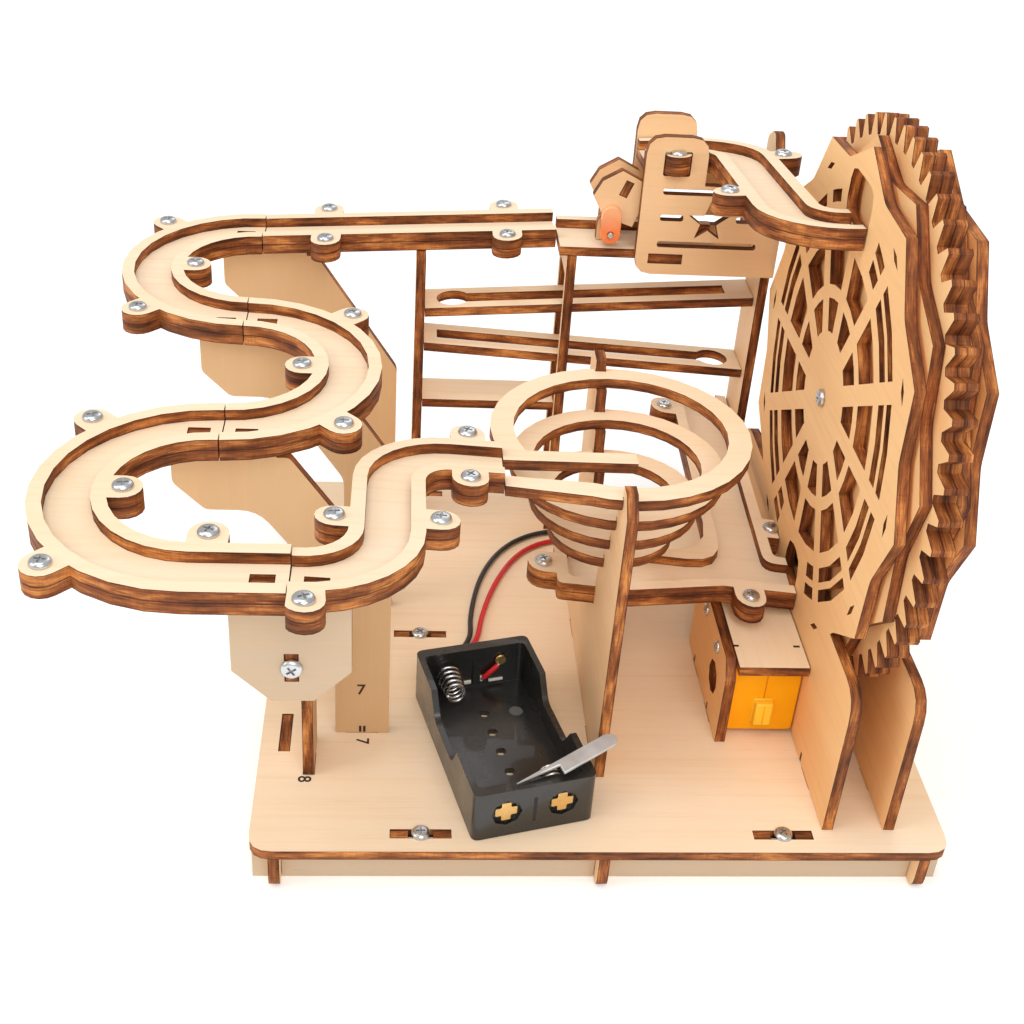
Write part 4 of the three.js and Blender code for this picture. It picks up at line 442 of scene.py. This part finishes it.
def plywood(node):
    """One cut sheet: its pale faces, in a tone that carries painted shade on upright and shaded pieces, and
    its burnt edge, with the grain's own start on each piece.
    """
    bm = copied(node)
    normal = sheet_normal(bm)
    level = Vector((0, 0, 1)) if abs(normal.z) < FACING else Vector((0, 1, 0))
    grain = normal.cross(level).normalized()
    across = normal.cross(grain)
    if node.startswith(UPRIGHT_GRAIN):
        grain, across = across, grain
    low = min(v.co.dot(normal) for v in bm.verts)
    shift = Vector((len(node) * SHIFT_BY_LENGTH, sum(map(ord, node)) * SHIFT_BY_LETTERS))
    sheet = bm.loops.layers.uv.new("Sheet")
    height = bm.loops.layers.uv.new("Height")
    for face in bm.faces:
        face.material_index = 0 if abs(face.normal.dot(normal)) > FACING else 1
        for loop in face.loops:
            at = loop.vert.co
            loop[sheet].uv = Vector((at.dot(grain), at.dot(across))) * UV_PER_METRE + shift
            loop[height].uv = ((at.dot(normal) - low) / (PLY * MM), 0)
    own = [tone for start, tone in TONES.items() if node.startswith(start)]
    # Lying sheets take the plywood's own tone and upright sheets the copy with painted warm shade, unless
    # the piece has a painted-shade tone of its own.
    pale_face = own[0] if own else FACE_LYING if abs(normal.z) > FACING else FACE_UPRIGHT_PAINTED_SHADE
    mesh = to_mesh(node + "_wood", bm, (pale_face, EDGE), SHEET_ANGLE)
    piece(node + "_wood", mesh, BODY[node], SLOT[node], node)


for node in sorted(NODES):
    if SLOT[node] == "plywood":
        plywood(node)


# Springs of round wire, one at each end of the case
SPRING_CURLS = 5
SPRING_L = 8.5
SPRING_R = 3.3
SPRING_WIRE = 0.8
SPRING_TAPER = 0.25
CURL_STEPS = 24


def spring(name, node, share, rear):
    """A tapering coil that stands on the case's rear or front end wall."""
    points = []
    steps = CURL_STEPS * SPRING_CURLS
    room = CASE_END + SEAM + SPRING_WIRE / 2
    for step in range(steps + 1):
        t = step / steps
        angle = 2 * math.pi * SPRING_CURLS * t
        radius = SPRING_R * (1 - SPRING_TAPER * t)
        u = radius * math.cos(angle)
        v = room + SPRING_L * t
        if rear:
            u, v = -u, CASE_L - v
        points.append(in_case(CASE_W * share + u, v, CELL_W + radius * math.sin(angle)))
    wire(name, points, SPRING_WIRE, SPRING_STEEL, BODY[node], SLOT[node], node)


spring("coil_rear", "spring_rear", CELL_SHARES[0], True)
spring("coil_front", "spring_front", CELL_SHARES[1], False)


# Moulded, turned and stamped pieces: their nodes' shapes with eased edges
FLAT_ANGLE = math.radians(1)
CORNER_ANGLE = math.radians(30)
ROUND_ANGLE = math.radians(40)


def eased(node, material, width, segments):
    """The node's shape with bevelled corners, sharp at steep edges and where a bevel meets a flat face."""
    bm = copied(node)
    bmesh.ops.dissolve_limit(bm, angle_limit=FLAT_ANGLE, verts=bm.verts, edges=bm.edges, delimit=set())
    sharp = [e for e in bm.edges if e.is_manifold and e.calc_face_angle() > CORNER_ANGLE]
    made = bmesh.ops.bevel(
        bm, geom=sharp, offset=width * MM, affect="EDGES", segments=segments, profile=0.5, material=-1,
        clamp_overlap=True,
    )
    rounded = set(made["faces"])
    for edge in bm.edges:
        kinds = {face in rounded for face in edge.link_faces}
        edge.smooth = len(kinds) == 1 and edge.calc_face_angle(0) < ROUND_ANGLE
    mesh = to_mesh(node + "_form", bm, (material,))
    piece(node + "_form", mesh, BODY[node], SLOT[node], node)


eased("battery_case", BLACK, 0.5, 3)
eased("gearbox", YELLOW, 0.5, 3)
eased("motor_can", ZINC, 0.5, 2)
eased("motor_shaft", WHITE, 0.3, 2)
eased("flipper_hub", ORANGE, 0.5, 3)
eased("flipper_pin", ZINC, 0.2, 2)
eased("contact_left", BRASS, 0.12, 2)
eased("contact_right", BRASS, 0.12, 2)
eased("contact_rivet", BRASS, 0.25, 3)
eased("pull_strip", FILM, 0.2, 2)


# Small details
def add_block(bm, low, high, ease, place=Matrix.Identity(4), material=0):
    """Adds a block with eased edges between two corners in millimetres, set down by place."""
    low, high = Vector(low), Vector(high)
    shape = Matrix.Translation((low + high) / 2) @ Matrix.Diagonal((*(high - low), 1))
    verts = bmesh.ops.create_cube(bm, size=1, matrix=shape)["verts"]
    edges = list({edge for vert in verts for edge in vert.link_edges})
    made = bmesh.ops.bevel(
        bm, geom=edges, offset=ease, affect="EDGES", segments=2, profile=0.5, material=-1,
    )
    verts = {vert for face in made["faces"] for vert in face.verts}
    faces = {face for vert in verts for face in vert.link_faces}
    for face in faces:
        face.material_index = material
    bmesh.ops.transform(bm, matrix=place, verts=list(verts))


def add_rod(bm, segments, radius, length, place=Matrix.Identity(4)):
    """Adds a closed round rod along Z, set down by place, and gives its vertices."""
    made = bmesh.ops.create_cone(
        bm, cap_ends=True, segments=segments, radius1=radius, radius2=radius, depth=length, matrix=place,
    )
    return made["verts"]


BASE_PLACE = Matrix.Translation(DECK) @ Matrix.Scale(MM, 4)
BLOCK_ANGLE = 30
TURNED_ANGLE = 40
INLAY_EASE = 0.02
INLAY_PROUD = 0.05

# Slots in the case's front and rear end walls, drawn as thin near-black plates: painted shade where the
# openings are
CASE_REAR = CASE_L - CASE_END
SLOT_U = CASE_W / 2
FRONT_SLOT = ((SLOT_U - 0.45, -0.04, 3.3), (SLOT_U + 0.45, 0.2, 11.3))
REAR_SLOT = ((SLOT_U - 0.5, CASE_REAR - INLAY_PROUD, 3), (SLOT_U + 0.1, CASE_REAR + 0.1, 12))
bm = bmesh.new()
for low, high in (FRONT_SLOT, REAR_SLOT):
    add_block(bm, low, high, INLAY_EASE, CASE_PLACE)
piece("case_slots_painted_shade", to_mesh("case_slots_painted_shade", bm, (SLOT_PAINTED_SHADE,), BLOCK_ANGLE), "frame", "black_plastic")

# Metal clips on the rear end wall: middle across the case, foot, length and height
CLIPS = ((14.2, 3.3, 2.4, 1.1), (11.4, 2.4, 2.4, 0.8), (18.4, 3.6, 0.8, 1.9), (22.6, 3.0, 4.2, 0.8))
CLIP_REACH = 0.6
CLIP_GAP = 0.02
CLIP_EASE = 0.15
bm = bmesh.new()
for u, w, length, height in CLIPS:
    low = (u - length / 2, CASE_REAR - CLIP_REACH, w)
    add_block(bm, low, (u + length / 2, CASE_REAR - CLIP_GAP, w + height), CLIP_EASE, CASE_PLACE)
piece("case_clips", to_mesh("case_clips", bm, (TIN,), BLOCK_ANGLE), "frame", "zinc_steel")

# A round moulding gate on the case's floor
GATE_MARK = (24.7, 42, CASE_FLOOR)
GATE_MARK_R = 1.9
GATE_MARK_STEPS = ((0.25, 0.1), (0.6, 0.05))
bm = bmesh.new()
bmesh.ops.create_circle(bm, cap_ends=True, segments=32, radius=GATE_MARK_R)
for width, depth in GATE_MARK_STEPS:
    bmesh.ops.inset_region(bm, faces=bm.faces[:1], thickness=width, depth=depth)
bmesh.ops.transform(bm, matrix=CASE_PLACE @ Matrix.Translation(GATE_MARK), verts=bm.verts)
piece("case_gate_mark", to_mesh("case_gate_mark", bm, (GREY,), TURNED_ANGLE), "frame", "black_plastic")

# A short red link from the rivet to the hole in the case's rear wall
RIVET_END = Vector((23.2, CASE_REAR - 1.3, 9.6))
LINK_END = Vector((18.2, CASE_REAR - 0.9, 4.6))
LINK_R = 0.75
LINK_CORE_R = 0.35
LINK_SLEEVE_SHARE = 0.8
LINK_EASE = 0.12
LINK_RIM_ANGLE = math.radians(60)
bm = bmesh.new()
run = LINK_END - RIVET_END
slope = run.to_track_quat("Z", "Y").to_matrix().to_4x4()
along = Matrix.Translation((RIVET_END + LINK_END) / 2) @ slope
add_rod(bm, 16, LINK_R, run.length * LINK_SLEEVE_SHARE)
core = add_rod(bm, 12, LINK_CORE_R, run.length)
bare = {face for vert in core for face in vert.link_faces}
for face in bare:
    face.material_index = 1
rims = [edge for edge in bm.edges if edge.calc_face_angle() > LINK_RIM_ANGLE]
bmesh.ops.bevel(bm, geom=rims, offset=LINK_EASE, affect="EDGES", segments=2, profile=0.5, material=-1)
bmesh.ops.transform(bm, matrix=CASE_PLACE @ along, verts=bm.verts)
piece("case_link", to_mesh("case_link", bm, (SLEEVE_RED, ZINC), TURNED_ANGLE), "frame", "red_sleeve")

# Gearbox front: a paler nub with a groove, and the seam of the two halves above it
BOX_FRONT = 44.2
BOX_MIDDLE = 46.8
BOX_TOP = 23.85
NUB_D = 2.4
NUB_LOW = 4.9
NUB_TOP = 12.4
SEAM_MARGIN = 0.6
SEAM_W = 0.35
SEAM_DEPTH = 0.2
gearbox = bpy.data.objects["gearbox_form"].data
gearbox.materials.append(YELLOW_LIGHT)
for polygon in gearbox.polygons:
    if polygon.center.y < deck(0, BOX_FRONT - INLAY_PROUD, 0).y:
        polygon.material_index = 1
bm = bmesh.new()
seam = (BOX_MIDDLE - SEAM_W / 2, BOX_MIDDLE + SEAM_W / 2)
high = (seam[1], BOX_FRONT + SEAM_DEPTH, BOX_TOP - SEAM_MARGIN)
add_block(bm, (seam[0], BOX_FRONT - INLAY_PROUD, NUB_TOP), high, INLAY_EASE, BASE_PLACE)
nub_front = BOX_FRONT - NUB_D
low = (seam[0], nub_front - INLAY_PROUD, NUB_LOW + SEAM_MARGIN)
high = (seam[1], nub_front + SEAM_DEPTH, NUB_TOP - SEAM_MARGIN)
add_block(bm, low, high, INLAY_EASE, BASE_PLACE, material=1)
piece("gearbox_seam", to_mesh("gearbox_seam", bm, (AMBER, YELLOW), BLOCK_ANGLE), "frame", "yellow_plastic")


# Pan head screws with a cross recess
HEAD_SPOKES = 36
HEAD_FLAT = 0.66
HEAD_H = 0.52
HEAD_PROFILE = [(1, 0), (1, 0.16), (0.985, 0.24), (0.93, 0.34), (0.83, 0.44), (HEAD_FLAT, HEAD_H)]
HEAD_ANGLE = 50
CROSS_ARM = 0.52
CROSS_HALF = 0.115
CROSS_DEPTH = 0.2
CROSS_TAPER = 0.8
CROSS_MARGIN = 1.1


def pan_head():
    """A head of radius 1 that stands on the plane z = 0."""
    bm = bmesh.new()
    verts = [bm.verts.new((radius, 0, height)) for radius, height in HEAD_PROFILE]
    edges = [bm.edges.new(pair) for pair in zip(verts, verts[1:])]
    bmesh.ops.spin(
        bm, geom=verts + edges, cent=(0, 0, 0), axis=(0, 0, 1), angle=2 * math.pi, steps=HEAD_SPOKES,
        use_merge=True,
    )
    bmesh.ops.remove_doubles(bm, verts=bm.verts, dist=1e-4)
    rims = [edge for edge in bm.edges if edge.is_boundary]
    foot = [edge for edge in rims if edge.verts[0].co.z < HEAD_H / 2]
    brow = [edge for edge in rims if edge.verts[0].co.z > HEAD_H / 2]
    bmesh.ops.edgeloop_fill(bm, edges=foot)
    arm, half = CROSS_ARM, CROSS_HALF
    quarter = [(arm, -half), (arm, half), (half, half)]
    corners = []
    for step in range(4):
        turned = Matrix.Rotation(step * math.pi / 2, 3, "Z")
        corners += [bm.verts.new(turned @ Vector((x, y, HEAD_H))) for x, y in quarter]
    cross = [bm.edges.new(pair) for pair in zip(corners, corners[1:] + corners[:1])]
    cut = bmesh.ops.subdivide_edges(bm, edges=cross, cuts=HEAD_SPOKES // 12 - 1)
    cross = list({e for e in cross + [g for g in cut["geom"] if isinstance(g, bmesh.types.BMEdge)]})
    bmesh.ops.bridge_loops(bm, edges=brow + cross)
    walls = bmesh.ops.extrude_edge_only(bm, edges=cross)["geom"]
    floor = [g for g in walls if isinstance(g, bmesh.types.BMVert)]
    deep = [g for g in walls if isinstance(g, bmesh.types.BMEdge) and set(g.verts) <= set(floor)]
    bmesh.ops.translate(bm, vec=(0, 0, -CROSS_DEPTH), verts=floor)
    bmesh.ops.scale(bm, vec=(CROSS_TAPER, CROSS_TAPER, 1), verts=floor)
    bmesh.ops.edgeloop_fill(bm, edges=deep)
    bmesh.ops.recalc_face_normals(bm, faces=bm.faces)
    # Faces in the cross recess take the darker metal, painted shade.
    for face in bm.faces:
        inside = max(math.hypot(vert.co.x, vert.co.y) for vert in face.verts) < CROSS_ARM * CROSS_MARGIN
        face.material_index = 1 if inside else 0
    return to_mesh("pan_head", bm, (ZINC, RECESS_PAINTED_SHADE), HEAD_ANGLE)


PAN_HEAD = pan_head()


def add_screw(bm, at, facing, radius, turn):
    """Adds a head that stands on the point at, in metres, and faces along a direction."""
    before = set(bm.verts)
    bm.from_mesh(PAN_HEAD)
    head = [vert for vert in bm.verts if vert not in before]
    face = Vector(facing).to_track_quat("Z", "Y").to_matrix().to_4x4() @ Matrix.Rotation(turn, 4, "Z")
    place = Matrix.Translation(at) @ face @ Matrix.Scale(radius * MM, 4)
    bmesh.ops.transform(bm, matrix=place, verts=head)


NO_AREA = 1e-14


def top_of(node, x, y):
    """Height of a node's highest face over a point of the base plate, in metres."""
    at = deck(x, y, 0)
    heights = []
    mesh = NODES[node].data
    mesh.calc_loop_triangles()
    for triangle in mesh.loop_triangles:
        p, q, r = (mesh.vertices[i].co for i in triangle.vertices)
        area = (q.x - p.x) * (r.y - p.y) - (r.x - p.x) * (q.y - p.y)
        if abs(area) < NO_AREA:
            continue
        a = ((at.x - p.x) * (r.y - p.y) - (r.x - p.x) * (at.y - p.y)) / area
        b = ((q.x - p.x) * (at.y - p.y) - (at.x - p.x) * (q.y - p.y)) / area
        if a >= 0 and b >= 0 and a + b <= 1:
            heights.append(p.z + a * (q.z - p.z) + b * (r.z - p.z))
    return max(heights)


# Ears of the tracks, from the same centre lines as the solids
EAR_OUT = 11.6
BEND_R = 28.25
RUN_X = -94.6
BEND_LEAD = 1.4
STRAIGHT_Y = 157.5
STRAIGHT_EARS = (18.6, 71.6)
BEND_Y = [STRAIGHT_Y - turns * BEND_R for turns in (1, 3, 5)]
LOW_Y = BEND_Y[-1] - BEND_R
LAST_R = 18.5
LAST_X = -55.5
LAST_Y = LOW_Y + LAST_R
LAST_EAR_RUN = 1.6
EXIT = (-36.7, 44.5)
TURN_X = 41.8


def bend_ears(x, y, hand):
    """Ears of a half-circle bend, two outside and one inside; hand is -1 on the left and 1 on the right."""
    places = []
    for share, side in ((0.25, 1), (0.5, -1), (0.75, 1)):
        angle = math.pi * (0.5 - share)
        radius = BEND_R + side * EAR_OUT
        places.append((x + hand * radius * math.cos(angle), y + radius * math.sin(angle)))
    return places


entry = LAST_EAR_RUN / LAST_R
first_out = LAST_R + EAR_OUT
EARS = {
    "straight_track": [(RUN_X + x, STRAIGHT_Y + side * EAR_OUT) for x in STRAIGHT_EARS for side in (1, -1)],
    "curve_track_1": bend_ears(RUN_X, BEND_Y[0], -1),
    "curve_track_2": bend_ears(RUN_X, BEND_Y[1], 1),
    "curve_track_3": bend_ears(RUN_X - BEND_LEAD, BEND_Y[2], -1) + [(RUN_X + 2.15, LOW_Y + EAR_OUT)],
    "curve_track_4": [
        (LAST_X - LAST_R + first_out * math.sin(entry), LAST_Y - first_out * math.cos(entry)),
        (LAST_X - EAR_OUT, LAST_Y + 4.3), (LAST_X + EAR_OUT, LAST_Y + 5.6),
        (EXIT[0], EXIT[1] + EAR_OUT), (EXIT[0], EXIT[1] - EAR_OUT),
    ],
    "tray": [(-14, 64.9), (42.7, 59.5), (54.45, 91), (30.85, 150)],
    "upper_track": [(TURN_X - EAR_OUT, 101.5), (TURN_X + EAR_OUT - 1, 137.7), (23.4, 151.7 - EAR_OUT)],
}
TRACK_HEAD = 2.4
BASE_HEAD = 2.4
MOTOR_HEAD = 1.8
BASE_SCREWS = [(x, y) for x in (-46, 46) for y in (6, 86.3, 163.5)]
BRACKET_SCREW = (-75, LOW_Y - PLY / 2, 68.8)
MOTOR_SCREWS = ((34.3, 53.2, 23.0), (34.3, 70.2, 23.0))

bm = bmesh.new()
for node, places in EARS.items():
    for count, (x, y) in enumerate(places):
        at = deck(x, y, 0)
        at.z = top_of(node, x, y)
        add_screw(bm, at, (0, 0, 1), TRACK_HEAD, 0.4 + 1.3 * count)
for count, (x, y) in enumerate(BASE_SCREWS):
    add_screw(bm, deck(x, y, 0), (0, 0, 1), BASE_HEAD, 0.7 * count)
add_screw(bm, deck(*BRACKET_SCREW), (0, -1, 0), TRACK_HEAD, 0.6)
for place in MOTOR_SCREWS:
    add_screw(bm, deck(*place), (-1, 0, 0), MOTOR_HEAD, 0.3)
piece("pan_screws", to_mesh("pan_screws", bm, (ZINC, RECESS_PAINTED_SHADE), HEAD_ANGLE), "frame", "zinc_steel")

# The wheel's axle ends in the same heads
AXLE_R = 2.0
AXLE_SIDES = 32
AXLE_HEAD_R = 2.4
AXLE_HEAD_H = 1.2
axle_low, axle_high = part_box("wheel_axle")
axle = (axle_low + axle_high) / 2
near = Vector((axle_low.x + AXLE_HEAD_H * MM, axle.y, axle.z))
far = Vector((axle_high.x - AXLE_HEAD_H * MM, axle.y, axle.z))
bm = bmesh.new()
lying = Matrix.Translation((near + far) / 2) @ Matrix.Rotation(math.pi / 2, 4, "Y")
add_rod(bm, AXLE_SIDES, AXLE_R * MM, (far - near).length, lying)
add_screw(bm, near, (-1, 0, 0), AXLE_HEAD_R, 0.3)
add_screw(bm, far, (1, 0, 0), AXLE_HEAD_R, 0.9)
axle_form = to_mesh("wheel_axle_form", bm, (ZINC, RECESS_PAINTED_SHADE), HEAD_ANGLE)
piece("wheel_axle_form", axle_form, BODY["wheel_axle"], SLOT["wheel_axle"], "wheel_axle")

# Burnt marks: the ends of tabs and slits, and the assembly numbers beside them
MARK_T = 0.05
MARK_BOLD = 0.06
MARK_EASE = 0.01
NUMBER_SIZE = 4.8
ARM_FACE = 43.1
COVER_TOP = 26.8
BRACKET_FACE = 34.3
FRAME_FACE = 56.5


def add_number(bm, text, size, place):
    """Adds a digit as a thin plate; place turns it from the XY plane, in metres."""
    curve = bpy.data.curves.new("digit", "FONT")
    curve.body = text
    curve.size = size * MM
    curve.extrude = MARK_T / 2 * MM
    curve.offset = MARK_BOLD * MM
    curve.align_x = "CENTER"
    curve.align_y = "CENTER"
    writer = bpy.data.objects.new("digit", curve)
    scene.collection.objects.link(writer)
    graph = bpy.context.evaluated_depsgraph_get()
    digit = bpy.data.meshes.new_from_object(writer.evaluated_get(graph))
    bpy.data.objects.remove(writer)
    digit.transform(place)
    bm.from_mesh(digit)


bm = bmesh.new()
for x in (-62.2, -61.1):
    add_block(bm, (x - 0.34, ARM_FACE - MARK_T, 0.3), (x + 0.34, ARM_FACE, 2.4), MARK_EASE, BASE_PLACE)
for x0, x1 in ((37.4, 38.7), (53.6, 55.4)):
    add_block(bm, (x0, 48.7, COVER_TOP), (x1, 49.5, COVER_TOP + MARK_T), MARK_EASE, BASE_PLACE)
for y in (54.1, 75):
    low = (BRACKET_FACE - MARK_T, y - 0.45, 0.3)
    add_block(bm, low, (BRACKET_FACE, y + 0.45, 2.6), MARK_EASE, BASE_PLACE)
add_block(bm, (FRAME_FACE - MARK_T, 32.8, 0.3), (FRAME_FACE, 33.8, 2.9), MARK_EASE, BASE_PLACE)
upright = Matrix.Rotation(math.pi / 2, 4, "X")
lying = Matrix.Rotation(-math.pi / 2, 4, "Z")
add_number(bm, "7", NUMBER_SIZE, Matrix.Translation(deck(-62, ARM_FACE - MARK_T / 2, 14.9)) @ upright)
add_number(bm, "7", NUMBER_SIZE, Matrix.Translation(deck(-61.6, 39.7, MARK_T / 2)) @ lying)
add_number(bm, "8", NUMBER_SIZE, Matrix.Translation(deck(-76.1, 25.1, MARK_T / 2)) @ lying)
piece("burnt_marks", to_mesh("burnt_marks", bm, (BURNT,), BLOCK_ANGLE), "frame", "plywood")


# Floor and light
FLOOR_HALF = 3
LIGHT_AIM = Vector((0, 0, 0.06))
WARM = (1.0, 0.985, 0.96)


def floor():
    """A plain pale floor."""
    f = Finish("floor")
    cloud = f.noise(f.place(), 1.5, 2, 0.5)
    tone = f.mixed(f.span(cloud, 0.3, 0.7), (0.90, 0.90, 0.90), (0.92, 0.92, 0.92))
    glow = {"Emission_Color": (1.0, 1.0, 1.0), "Emission_Strength": 0.2}
    f.done(Base_Color=tone, Roughness=0.85, Specular_IOR_Level=0.1, **glow)
    bm = bmesh.new()
    bmesh.ops.create_grid(bm, x_segments=4, y_segments=4, size=FLOOR_HALF)
    obj = bpy.data.objects.new("floor", to_mesh("floor", bm, (f.material,), BLOCK_ANGLE))
    scene.collection.objects.link(obj)


def area_light(name, place, size, power, color):
    """A soft round light that points at the object."""
    data = bpy.data.lights.new(name, "AREA")
    data.shape = "DISK"
    data.size = size
    data.energy = power
    data.color = color
    obj = bpy.data.objects.new(name, data)
    obj.location = place
    obj.rotation_euler = (LIGHT_AIM - Vector(place)).to_track_quat("-Z", "Y").to_euler()
    scene.collection.objects.link(obj)


floor()
area_light("key", (-0.35, -0.1, 1.4), 0.9, 6, WARM)
area_light("fill", (0.1, -1.0, 1.0), 0.9, 8, WARM)
area_light("left", (-1.1, -0.3, 0.8), 0.8, 4, (1.0, 0.98, 0.95))
area_light("back", (0.3, 1.2, 1.0), 0.8, 2, (1.0, 1.0, 1.0))
world = bpy.data.worlds.new("studio")
scene.world = world
world.use_nodes = True
sky = world.node_tree.nodes["Background"].inputs
sky["Color"].default_value = (1.0, 1.0, 1.0, 1)
sky["Strength"].default_value = 0.6
